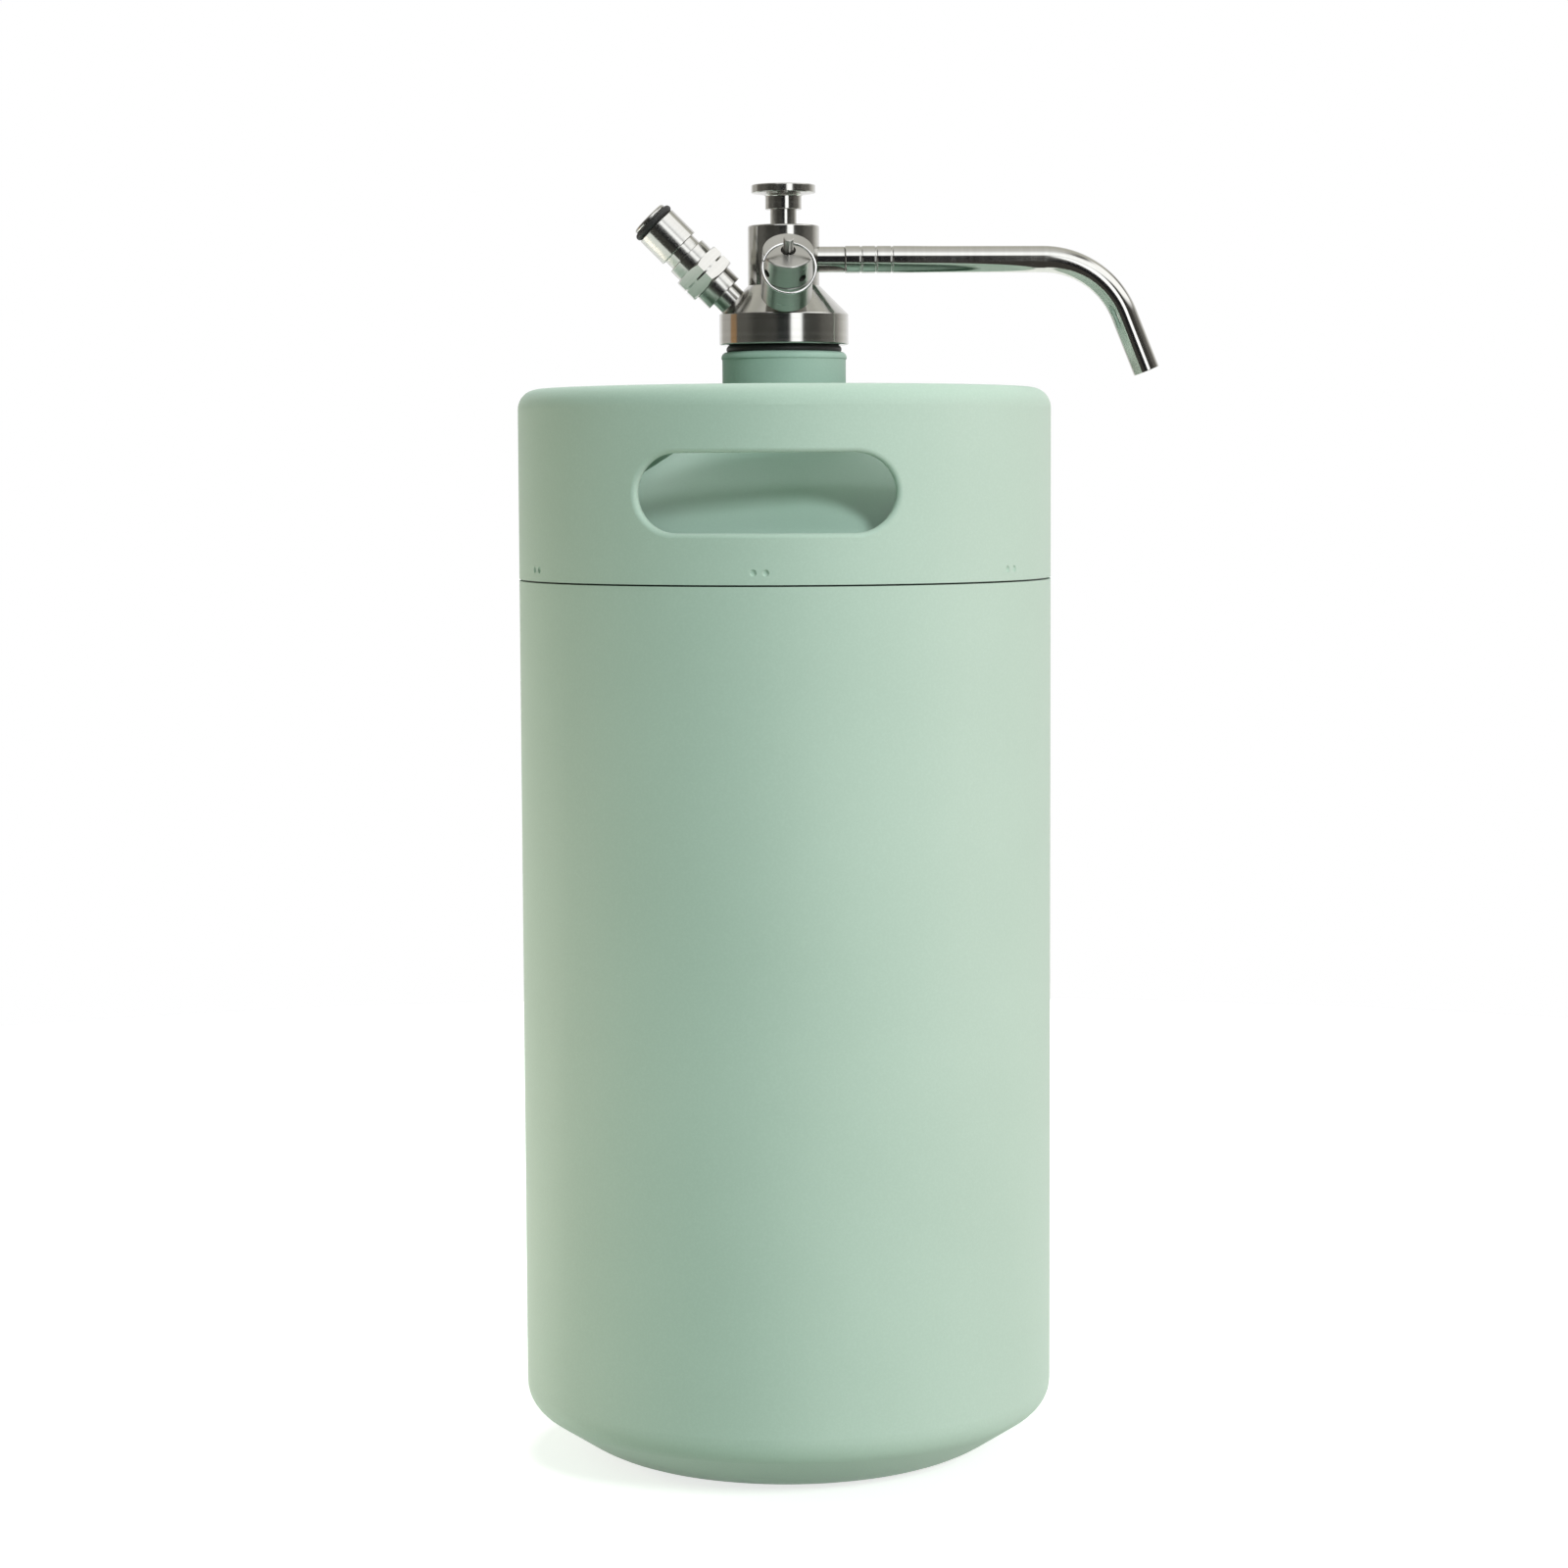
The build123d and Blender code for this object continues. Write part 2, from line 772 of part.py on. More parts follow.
def gas_poppet_seal():
    bore = gas_poppet_stem_diameter + 2 * seat_gap
    return gas_axis * tube(gas_poppet_diameter, bore, gas_poppet_top, cavity_top)


def gas_poppet_spring():
    spring = coil(gas_spring_diameter, gas_spring_wire, nipple_top, gas_poppet_base, gas_spring_turns)
    return gas_axis * spring


# Levels along the relief valve's axis, counted from where the port axes cross
relief_base_bottom = port_face + relief_neck_length
relief_base_top = relief_base_bottom + relief_base_length
relief_spigot_top = relief_base_top + relief_spigot_length
relief_seat = relief_spigot_top - relief_bore_depth
relief_cap_base = relief_base_top + relief_parting
relief_cap_top = relief_cap_base + relief_cap_length
relief_disc_base = relief_seat + relief_seal_thickness
relief_disc_top = relief_disc_base + relief_disc_thickness
relief_stem_top = relief_cap_top + relief_stem_reach
pull_ring_level = relief_stem_top - pull_ring_hole_inset


# Lower half of the relief valve, with its seat
def relief_base():
    way_radius = relief_way_diameter / 2
    corners = [
        (way_radius, port_bottom),
        (port_thread_diameter / 2, port_bottom),
        (port_thread_diameter / 2, port_face),
        (port_neck_diameter / 2, port_face),
        (port_neck_diameter / 2, relief_base_bottom),
        (relief_diameter / 2, relief_base_bottom),
        (relief_diameter / 2, relief_base_top),
        (relief_spigot_diameter / 2, relief_base_top),
        (relief_spigot_diameter / 2, relief_spigot_top),
        (relief_bore_diameter / 2, relief_spigot_top),
        (relief_bore_diameter / 2, relief_seat),
        (way_radius, relief_seat),
    ]
    rounds = [0] * len(corners)
    rounds[5] = rounds[6] = edge_break
    return relief_axis * turned(corners, rounds)


# Upper half, with side vents and a mouth for the stem
def relief_cap():
    inner_top = relief_cap_top - relief_end_wall
    socket_radius = relief_spigot_diameter / 2 + seat_gap
    corners = [
        (socket_radius, relief_cap_base),
        (relief_diameter / 2, relief_cap_base),
        (relief_diameter / 2, relief_cap_top),
        (relief_mouth_diameter / 2, relief_cap_top),
        (relief_mouth_diameter / 2, inner_top),
        (relief_bore_diameter / 2, inner_top),
        (relief_bore_diameter / 2, relief_spigot_top),
        (socket_radius, relief_spigot_top),
    ]
    rounds = [0] * len(corners)
    rounds[1] = edge_break
    rounds[2] = relief_cap_round
    cap = turned(corners, rounds)
    vent = Rot(0, 90, 0) * bar(vent_diameter, 0, relief_diameter)
    for number in range(vent_count):
        turn = 360 / vent_count * (number + 0.5) - 90 + vent_twist_angle
        cap -= Pos(0, 0, relief_cap_base + vent_rise) * Rot(0, 0, turn) * vent
    return relief_axis * cap


# Stem with the valve disc below and the pull ring's hole above
def relief_stem():
    stem_radius = relief_stem_diameter / 2
    corners = [
        (0, relief_disc_base),
        (relief_disc_diameter / 2, relief_disc_base),
        (relief_disc_diameter / 2, relief_disc_top),
        (stem_radius, relief_disc_top),
        (stem_radius, relief_stem_top),
        (0, relief_stem_top),
    ]
    stem = turned(corners, [0, 0, 0, 0, relief_stem_round, 0])
    hole = Rot(0, 90, 0) * bar(pull_ring_hole_diameter, -relief_stem_diameter, relief_stem_diameter)
    return relief_axis * (stem - Pos(0, 0, pull_ring_level) * hole)


# Rubber disc under the stem's disc, and the spring that holds it shut
def relief_seal():
    return relief_axis * bar(relief_seal_diameter, relief_seat, relief_disc_base)


def relief_spring():
    top = relief_cap_top - relief_end_wall
    spring = coil(relief_spring_diameter, relief_spring_wire, relief_disc_top, top, relief_spring_turns)
    return relief_axis * spring


# Split wire ring that hangs from the stem and leans outward over the cap
def pull_ring():
    radius = (pull_ring_diameter - pull_ring_wire) / 2
    tilt = radians(port_angle - pull_ring_lean_angle)
    hanging = Plane(
        origin=(0, 0, pull_ring_level), x_dir=(1, 0, 0), z_dir=(0, -sin(tilt), cos(tilt))
    )
    gap_angle = pull_ring_split / radius * 180 / pi
    start = pull_ring_split_angle + gap_angle / 2
    path = CenterArc((0, -radius), radius, start, 360 - gap_angle)
    ring = sweep(Plane(origin=path @ 0, z_dir=path % 0) * Circle(pull_ring_wire / 2), path)
    return relief_axis * hanging.location * ring


# Pieces that stay with the keg, and pieces that turn with the tap head
keg_pieces = [
    outer_shell,
    base_plate,
    vacuum_plug,
    shoulder,
    inner_liner,
    neck_ring,
    handle_collar,
]
head_pieces = [
    neck_gasket,
    tap_body,
    gland_bush,
    stem_o_ring,
    plunger_stem,
    push_knob,
    valve_poppet,
    poppet_seal,
    return_spring,
    dip_tube_holder,
    holder_o_ring,
    dip_tube,
    outlet_stub,
    spout_o_rings,
    spout_tube,
    gas_nipple,
    gas_post,
    gas_post_o_ring,
    gas_poppet,
    gas_poppet_seal,
    gas_poppet_spring,
    relief_base,
    relief_cap,
    relief_stem,
    relief_seal,
    relief_spring,
    pull_ring,
]

os.makedirs("parts", exist_ok=True)
for piece in keg_pieces:
    export_step(piece(), f"parts/{piece.__name__}.step")
for piece in head_pieces:
    export_step(head * piece(), f"parts/{piece.__name__}.step")
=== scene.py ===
import json
from math import asin, atan2, cos, degrees, hypot, pi, radians, sin

import bmesh
import bpy
from mathutils import Matrix, Vector


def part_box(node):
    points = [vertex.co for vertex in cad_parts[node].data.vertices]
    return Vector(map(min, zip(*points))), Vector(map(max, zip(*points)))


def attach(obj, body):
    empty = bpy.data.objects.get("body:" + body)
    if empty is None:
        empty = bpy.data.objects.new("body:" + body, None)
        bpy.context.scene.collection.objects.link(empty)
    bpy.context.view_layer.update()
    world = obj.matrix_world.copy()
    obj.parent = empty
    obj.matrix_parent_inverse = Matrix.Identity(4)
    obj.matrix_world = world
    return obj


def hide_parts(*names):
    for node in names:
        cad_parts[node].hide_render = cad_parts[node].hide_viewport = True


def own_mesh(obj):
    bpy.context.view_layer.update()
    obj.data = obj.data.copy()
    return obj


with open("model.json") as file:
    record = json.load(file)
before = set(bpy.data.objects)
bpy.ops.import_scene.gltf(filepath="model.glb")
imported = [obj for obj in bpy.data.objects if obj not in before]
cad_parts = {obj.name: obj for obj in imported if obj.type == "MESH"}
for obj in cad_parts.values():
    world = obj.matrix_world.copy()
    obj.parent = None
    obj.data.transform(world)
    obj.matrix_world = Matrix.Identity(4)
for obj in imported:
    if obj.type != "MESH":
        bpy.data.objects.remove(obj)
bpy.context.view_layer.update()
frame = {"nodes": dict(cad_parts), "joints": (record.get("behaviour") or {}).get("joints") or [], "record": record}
nodes = frame["nodes"]
joints = {joint["name"]: joint for joint in frame["joints"]}
mounts = {mount["name"]: mount for mount in frame["record"]["mounts"]}
scene = bpy.context.scene
mm = 0.001
mergeDistance = 0.001 * mm  # closer points than this are one
print("frame loaded:", len(nodes), "nodes")


# the head's own directions, read from its joints: spout along x, ports at 45 degrees
def frameAlong(zAxis, xAxis, origin):
    yAxis = zAxis.cross(xAxis)
    columns = Matrix((xAxis, yAxis, zAxis)).transposed().to_4x4()
    return Matrix.Translation(origin) @ columns


upward = Vector((0, 0, 1))
spoutAxis = Vector(joints["spout_swivel"]["axis"]).normalized()
spoutLevel = joints["spout_swivel"]["pos_m"][2]
gasAxis = -Vector(joints["gas_poppet_press"]["axis"]).normalized()
reliefAxis = Vector(joints["relief_pull"]["axis"]).normalized()
gasPoint = Vector(mounts["gas_post"]["pos_m"])
portLevel = gasPoint.z - hypot(gasPoint.x, gasPoint.y) * gasAxis.z / hypot(gasAxis.x, gasAxis.y)
headSide = upward.cross(spoutAxis)
headFrame = frameAlong(upward, spoutAxis, Vector((0, 0, 0)))
spoutFrame = frameAlong(spoutAxis, headSide, Vector((0, 0, spoutLevel)))
gasFrame = frameAlong(gasAxis, headSide, Vector((0, 0, portLevel)))
reliefFrame = frameAlong(reliefAxis, spoutAxis, Vector((0, 0, portLevel)))

# camera, placed about the keg's axis
shot = {
    "azimuth": 4.3,
    "sideStep": -0.7 * mm,
    "distance": 1277.9 * mm,
    "height": 342.0 * mm,
    "pitch": 4.864,
    "roll": -0.268,
    "lens": 84.38,
    "sensor": 36.0,
}
sightTurn = Matrix.Rotation(radians(shot["azimuth"]), 4, "Z")


def makeCamera():
    place = sightTurn @ Matrix.Translation((shot["sideStep"], -shot["distance"], shot["height"]))
    aim = Matrix.Rotation(radians(90 - shot["pitch"]), 4, "X")
    lean = Matrix.Rotation(radians(shot["roll"]), 4, "Z")
    data = bpy.data.cameras.new("camera")
    data.lens = shot["lens"]
    data.sensor_width = shot["sensor"]
    camera = bpy.data.objects.new("camera", data)
    camera.matrix_world = place @ aim @ lean
    scene.collection.objects.link(camera)
    scene.camera = camera


makeCamera()
scene.view_settings.view_transform = "Standard"
print("camera placed")


# short hands for node trees
def addNode(tree, kind, at, **settings):
    node = tree.nodes.new(kind)
    node.location = at
    for name, value in settings.items():
        setattr(node, name, value)
    return node


def setInputs(node, **values):
    for name, value in values.items():
        node.inputs[name.replace("_", " ")].default_value = value
    return node


def rampStops(node, stops, interpolation="LINEAR"):
    ramp = node.color_ramp
    ramp.interpolation = interpolation
    while len(ramp.elements) > 1:
        ramp.elements.remove(ramp.elements[-1])
    ramp.elements[0].position, ramp.elements[0].color = stops[0][0], (*stops[0][1], 1)
    for position, colour in stops[1:]:
        element = ramp.elements.new(position)
        element.color = (*colour, 1)


def calc(tree, operation, at, *values):  # one math node, fed by sockets or numbers
    node = addNode(tree, "ShaderNodeMath", at, operation=operation)
    for number, value in enumerate(values):
        if isinstance(value, (int, float)):
            node.inputs[number].default_value = value
        else:
            tree.links.new(value, node.inputs[number])
    return node.outputs["Value"]


# studio: white behind for the camera and for metal, an even ambient for what is matt
studio = {
    "ambient": (0.308, 0.308),  # level with the keg, and from overhead
    "ambientRise": (0.15, 0.85),
    "ambientColour": (0.775, 1.0, 0.875),
    "floorRadius": 1.1,
    "floorColour": (0.5, 0.57, 0.5),
    "floorGlow": 0.72,  # lifts the floor to white for the camera, and leaves a faint shadow
}


def whiteForSight(tree, at):  # 1 for rays that see the background, straight or by reflection
    rays = addNode(tree, "ShaderNodeLightPath", at).outputs
    either = calc(tree, "MAXIMUM", (at[0] + 180, at[1]), rays["Is Camera Ray"], rays["Is Glossy Ray"])
    return calc(tree, "MAXIMUM", (at[0] + 360, at[1]), either, rays["Is Transmission Ray"])


def makeWorld():
    world = bpy.data.worlds.new("studio")
    scene.world = world
    world.use_nodes = True
    tree = world.node_tree
    tree.nodes.clear()
    sky = addNode(tree, "ShaderNodeTexCoord", (-800, 0))
    parts = addNode(tree, "ShaderNodeSeparateXYZ", (-600, 0))
    tree.links.new(sky.outputs["Generated"], parts.inputs["Vector"])
    level = addNode(tree, "ShaderNodeMapRange", (-400, 0), interpolation_type="SMOOTHSTEP")
    (low, high), (beside, above) = studio["ambientRise"], studio["ambient"]
    setInputs(level, From_Min=low, From_Max=high, To_Min=beside, To_Max=above)
    tree.links.new(parts.outputs["Z"], level.inputs["Value"])
    ambient = setInputs(addNode(tree, "ShaderNodeBackground", (0, 100)), Color=(*studio["ambientColour"], 1))
    tree.links.new(level.outputs["Result"], ambient.inputs["Strength"])
    white = setInputs(addNode(tree, "ShaderNodeBackground", (0, -100)), Color=(1, 1, 1, 1), Strength=1.0)
    choice = addNode(tree, "ShaderNodeMixShader", (220, 0))
    output = addNode(tree, "ShaderNodeOutputWorld", (420, 0))
    tree.links.new(whiteForSight(tree, (-600, 300)), choice.inputs[0])
    tree.links.new(ambient.outputs[0], choice.inputs[1])
    tree.links.new(white.outputs[0], choice.inputs[2])
    tree.links.new(choice.outputs[0], output.inputs["Surface"])


# soft lamps: azimuth from the camera's side of the keg, height, size and power
lamps = {
    "frontKey": {
        "azimuth": 37, "height": 2.6, "away": 4.6, "aim": 0.15,
        "size": 1.4, "watts": 178, "colour": (0.945, 0.94, 1),
    },
    "rightSoft": {
        "azimuth": 78, "height": 0.05, "away": 1.5, "aim": 0.05,
        "size": 0.8, "watts": 12, "colour": (1, 0.65, 0.74),
    },
    "topSoft": {
        "azimuth": 40, "height": 1.5, "away": 0.1, "aim": 0.3,
        "size": 0.9, "watts": 2.8, "colour": (0.88, 1, 0.82),
    },
    "leftLow": {
        "azimuth": -101, "height": 0.07, "away": 0.56, "aim": 0.06,
        "size": 0.35, "watts": 2.15, "colour": (1, 0.77, 0.72),
    },
    "backTop": {
        "azimuth": 185, "height": 2.0, "away": 1.1, "aim": 0.34,
        "size": 0.8, "watts": 21.6, "colour": (1, 0.83, 0.96),
    },
    "frontTop": {
        "azimuth": 15, "height": 2.2, "away": 0.9, "aim": 0.34,
        "size": 0.5, "watts": 7.2, "colour": (1, 0.87, 0.98),
    },
}


def makeLamps():
    for name, lamp in lamps.items():
        data = bpy.data.lights.new(name, "AREA")
        data.shape = "DISK"
        data.size = lamp["size"]
        data.energy = lamp["watts"]
        data.color = lamp["colour"]
        turn = radians(lamp["azimuth"] + shot["azimuth"])
        place = Vector((sin(turn) * lamp["away"], -cos(turn) * lamp["away"], lamp["height"]))
        lampObject = bpy.data.objects.new(name, data)
        lampObject.location = place
        lampObject.rotation_euler = (place - Vector((0, 0, lamp["aim"]))).to_track_quat("Z", "Y").to_euler()
        lampObject.visible_glossy = False  # metal sees the room screen instead
        scene.collection.objects.link(lampObject)


def addStage(name, shape, material, place, sightOnly):
    mesh = bpy.data.meshes.new(name)
    shape.to_mesh(mesh)
    shape.free()
    mesh.materials.append(material)
    stage = bpy.data.objects.new(name, mesh)
    stage.matrix_world = place
    scene.collection.objects.link(stage)
    if sightOnly:  # only metal and gloss see it: no light, no shadow, not in the picture
        stage.visible_camera = stage.visible_diffuse = stage.visible_shadow = False
        stage.visible_transmission = stage.visible_volume_scatter = False


# pale floor: white to the camera away from the keg, with the keg's own shadow
def makeFloor():
    material = bpy.data.materials.new("paleFloor")
    material.use_nodes = True
    tree = material.node_tree
    shader = tree.nodes["Principled BSDF"]
    setInputs(shader, Base_Color=(*studio["floorColour"], 1), Roughness=0.9, Specular_IOR_Level=0.0)
    glow = calc(tree, "MULTIPLY", (-200, -300), whiteForSight(tree, (-800, -300)), studio["floorGlow"])
    shader.inputs["Emission Color"].default_value = (1, 1, 1, 1)
    tree.links.new(glow, shader.inputs["Emission Strength"])
    shape = bmesh.new()
    bmesh.ops.create_circle(shape, cap_ends=True, segments=96, radius=studio["floorRadius"])
    addStage("floor", shape, material, Matrix.Identity(4), False)


# room screen: what polished steel mirrors in front of the keg, a dim room with a tall window
room = {
    "radius": 8.0,
    "level": 0.41,
    "backOpening": (-150, 145),  # the white behind shows past these bearings
    "backHeight": 38,
    "ceilingEdge": (22, 32),
    "floorEdge": -62,
    "black": (0.02, 0.02, 0.022),
    "dark": (0.063, 0.061, 0.055),
    "dim": (0.14, 0.136, 0.124),
    "grey": (0.23, 0.224, 0.207),
    "pale": (0.57, 0.56, 0.525),
    "light": (0.91, 0.91, 0.88),
    "window": (1.95, 2.0, 2.03),
    "ceiling": (0.205, 0.2, 0.194),
    "softBox": (1.72, 1.76, 1.78),
    "sideBox": (1.72, 1.74, 1.74),
    "overhead": (0.8, 0.8, 0.765),
    "backUp": (0.69, 0.69, 0.62),
    "bench": (0.068, 0.064, 0.057),
    "warm": (0.53, 0.3, 0.125),
}
roomBands = [  # bearing from straight behind the camera, to its right, and what stands there
    (-180, "light"),
    (-150, "light"),
    (-138, "pale"),
    (-112, "pale"),
    (-108, "grey"),
    (-92, "dim"),
    (-70, "dim"),
    (-52, "dark"),
    (-16, "dark"),
    (-8, "black"),
    (9, "black"),
    (11.5, "dim"),
    (13.5, "window"),
    (31, "window"),
    (34, "dark"),
    (60, "dark"),
    (74, "dim"),
    (104, "grey"),
    (118, "pale"),
    (136, "light"),
    (180, "light"),
]
roomPatches = {  # where each lit patch rises and falls, in degrees from the keg's head
    "overhead": {"side": (-34, -20, 20, 34), "height": (56, 72, 100, 101)},
    "backUp": {"depth": (2, 18, 100, 101), "height": (30, 40, 100, 101)},
    "softBox": {"bearing": (-38, -30, 48, 62), "height": (24, 33, 46, 78)},
    "sideBox": {"bearing": (44, 56, 104, 118), "height": (20, 28, 50, 60)},
}


def screenAngles(tree):  # where a point on the screen stands, seen from its centre
    place = addNode(tree, "ShaderNodeTexCoord", (-1500, 0))
    aim = addNode(tree, "ShaderNodeVectorMath", (-1320, 0), operation="NORMALIZE")
    tree.links.new(place.outputs["Object"], aim.inputs[0])
    parts = addNode(tree, "ShaderNodeSeparateXYZ", (-1140, 0))
    tree.links.new(aim.outputs["Vector"], parts.inputs["Vector"])
    right, back, up = parts.outputs
    front = calc(tree, "MULTIPLY", (-960, 120), back, -1)
    return {
        "bearing": calc(tree, "ARCTAN2", (-780, 160), right, front),
        "height": calc(tree, "ARCSINE", (-780, -60), up),
        "side": calc(tree, "ARCSINE", (-780, -240), right),
        "depth": calc(tree, "ARCSINE", (-780, -420), back),
    }


def between(tree, source, edges, at):  # soft mask, 1 from the second edge to the third, in degrees
    rise = addNode(tree, "ShaderNodeMapRange", at, interpolation_type="SMOOTHSTEP")
    setInputs(rise, From_Min=radians(edges[0]), From_Max=radians(edges[1]))
    fall = addNode(tree, "ShaderNodeMapRange", (at[0], at[1] - 260), interpolation_type="SMOOTHSTEP")
    setInputs(fall, From_Min=radians(edges[2]), From_Max=radians(edges[3]), To_Min=1.0, To_Max=0.0)
    for node in (rise, fall):
        tree.links.new(source, node.inputs["Value"])
    return calc(tree, "MULTIPLY", (at[0] + 180, at[1]), rise.outputs["Result"], fall.outputs["Result"])


def glowOnly(name):
    material = bpy.data.materials.new(name)
    material.use_nodes = True
    material.cycles.emission_sampling = "NONE"
    tree = material.node_tree
    tree.nodes.clear()
    glow = addNode(tree, "ShaderNodeEmission", (300, 0))
    output = addNode(tree, "ShaderNodeOutputMaterial", (500, 0))
    tree.links.new(glow.outputs[0], output.inputs["Surface"])
    return material, tree, glow


def makeRoomScreen():
    material, tree, glow = glowOnly("roomScreen")
    angles = screenAngles(tree)
    around = addNode(tree, "ShaderNodeMapRange", (-560, 300))
    setInputs(around, From_Min=-pi, From_Max=pi)
    tree.links.new(angles["bearing"], around.inputs["Value"])
    bands = addNode(tree, "ShaderNodeValToRGB", (-380, 300))
    rampStops(bands, [((turn + 180) / 360, room[name]) for turn, name in roomBands])
    tree.links.new(around.outputs["Result"], bands.inputs["Fac"])
    upper = addNode(tree, "ShaderNodeMapRange", (-560, 0), interpolation_type="SMOOTHSTEP")
    low, high = room["ceilingEdge"]
    setInputs(upper, From_Min=radians(low), From_Max=radians(high))
    tree.links.new(angles["height"], upper.inputs["Value"])
    walls = addNode(tree, "ShaderNodeMix", (-100, 200), data_type="RGBA")
    tree.links.new(upper.outputs["Result"], walls.inputs[0])
    tree.links.new(bands.outputs["Color"], walls.inputs[6])
    walls.inputs[7].default_value = (*room["ceiling"], 1)
    seen = walls.outputs[2]
    for number, (name, edges) in enumerate(roomPatches.items()):
        drop = -600 - 1200 * number
        masks = [
            between(tree, angles[angle], stops, (-560, drop - 600 * step))
            for step, (angle, stops) in enumerate(edges.items())
        ]
        patch = addNode(tree, "ShaderNodeMix", (100 + 200 * number, 0), data_type="RGBA")
        tree.links.new(calc(tree, "MULTIPLY", (-200, drop), *masks), patch.inputs[0])
        tree.links.new(seen, patch.inputs[6])
        patch.inputs[7].default_value = (*room[name], 1)
        seen = patch.outputs[2]
    tree.links.new(seen, glow.inputs["Color"])

    shape = bmesh.new()
    bmesh.ops.create_uvsphere(shape, u_segments=144, v_segments=72, radius=room["radius"])
    left, right = room["backOpening"]
    openFaces = []
    for face in shape.faces:
        centre = face.calc_center_median().normalized()
        turn, rise = degrees(atan2(centre.x, -centre.y)), degrees(asin(centre.z))
        if rise < room["floorEdge"] or (rise < room["backHeight"] and not left < turn < right):
            openFaces.append(face)
    bmesh.ops.delete(shape, geom=openFaces, context="FACES")
    addStage("roomScreen", shape, material, Matrix.Translation((0, 0, room["level"])) @ sightTurn, True)


# bench and warm strip that only metal sees: bearings, and the radius and height of each edge
cards = {
    "bench": {"bearings": (-43, 100), "from": (140 * mm, 2 * mm), "to": (1120 * mm, 2 * mm)},
    "warm": {"bearings": (-106.5, -90.5), "from": (300 * mm, 300 * mm), "to": (300 * mm, 411 * mm)},
}
cardSteps = 40


def cardEdge(shape, turns, radius, height):
    return [shape.verts.new((sin(turn) * radius, -cos(turn) * radius, height)) for turn in turns]


def makeCards():
    for name, card in cards.items():
        material, tree, glow = glowOnly(name + "Card")
        glow.inputs["Color"].default_value = (*room[name], 1)
        clear = addNode(tree, "ShaderNodeBsdfTransparent", (300, -140))
        side = addNode(tree, "ShaderNodeNewGeometry", (120, 200))
        choice = addNode(tree, "ShaderNodeMixShader", (460, 100))
        tree.links.new(side.outputs["Backfacing"], choice.inputs[0])
        tree.links.new(glow.outputs[0], choice.inputs[1])
        tree.links.new(clear.outputs[0], choice.inputs[2])
        tree.links.new(choice.outputs[0], tree.nodes["Material Output"].inputs["Surface"])
        shape = bmesh.new()
        first, last = card["bearings"]
        turns = [radians(first + (last - first) * step / cardSteps) for step in range(cardSteps + 1)]
        near = cardEdge(shape, turns, *card["from"])
        far = cardEdge(shape, turns, *card["to"])
        for number in range(cardSteps):
            shape.faces.new((near[number], far[number], far[number + 1], near[number + 1]))
        addStage(name + "Card", shape, material, sightTurn, True)


makeWorld()
makeLamps()
makeFloor()
makeRoomScreen()
makeCards()
print("studio lit")


# shader groups that several finishes share
def newGroup(name, inputs, outputs):
    group = bpy.data.node_groups.new(name, "ShaderNodeTree")
    for socketName, kind, value in inputs:
        socket = group.interface.new_socket(socketName, in_out="INPUT", socket_type=kind)
        if value is not None:
            socket.default_value = value
    for socketName, kind in outputs:
        group.interface.new_socket(socketName, in_out="OUTPUT", socket_type=kind)
    first = addNode(group, "NodeGroupInput", (-900, 0))
    last = addNode(group, "NodeGroupOutput", (700, 0))
    return group, first, last


def perMetre(group, source, at):  # a size in millimetres as a noise scale
    return calc(group, "DIVIDE", at, 1 / mm, source)


def makePowderGrain():
    group, first, last = newGroup(
        "powderGrain",
        [("Grain mm", "NodeSocketFloat", 0.9), ("Cloud mm", "NodeSocketFloat", 60.0)],
        [("Height", "NodeSocketFloat"), ("Cloud", "NodeSocketFloat"), ("Speck", "NodeSocketFloat")],
    )
    link = group.links.new
    place = addNode(group, "ShaderNodeTexCoord", (-900, -300))
    grain = setInputs(addNode(group, "ShaderNodeTexNoise", (-300, 200)), Detail=3.0, Roughness=0.55)
    link(place.outputs["Object"], grain.inputs["Vector"])
    link(perMetre(group, first.outputs["Grain mm"], (-600, 200)), grain.inputs["Scale"])
    cloud = setInputs(addNode(group, "ShaderNodeTexNoise", (-300, -100)), Detail=2.0, Roughness=0.5)
    link(place.outputs["Object"], cloud.inputs["Vector"])
    link(perMetre(group, first.outputs["Cloud mm"], (-600, -100)), cloud.inputs["Scale"])
    speck = addNode(group, "ShaderNodeMapRange", (100, 60), interpolation_type="SMOOTHSTEP")
    setInputs(speck, From_Min=0.42, From_Max=0.66)
    link(grain.outputs["Fac"], speck.inputs["Value"])
    link(grain.outputs["Fac"], last.inputs["Height"])
    link(cloud.outputs["Fac"], last.inputs["Cloud"])
    link(speck.outputs["Result"], last.inputs["Speck"])
    return group


streakShare = 0.12  # dull streaks are this much coarser than the tool's ridges


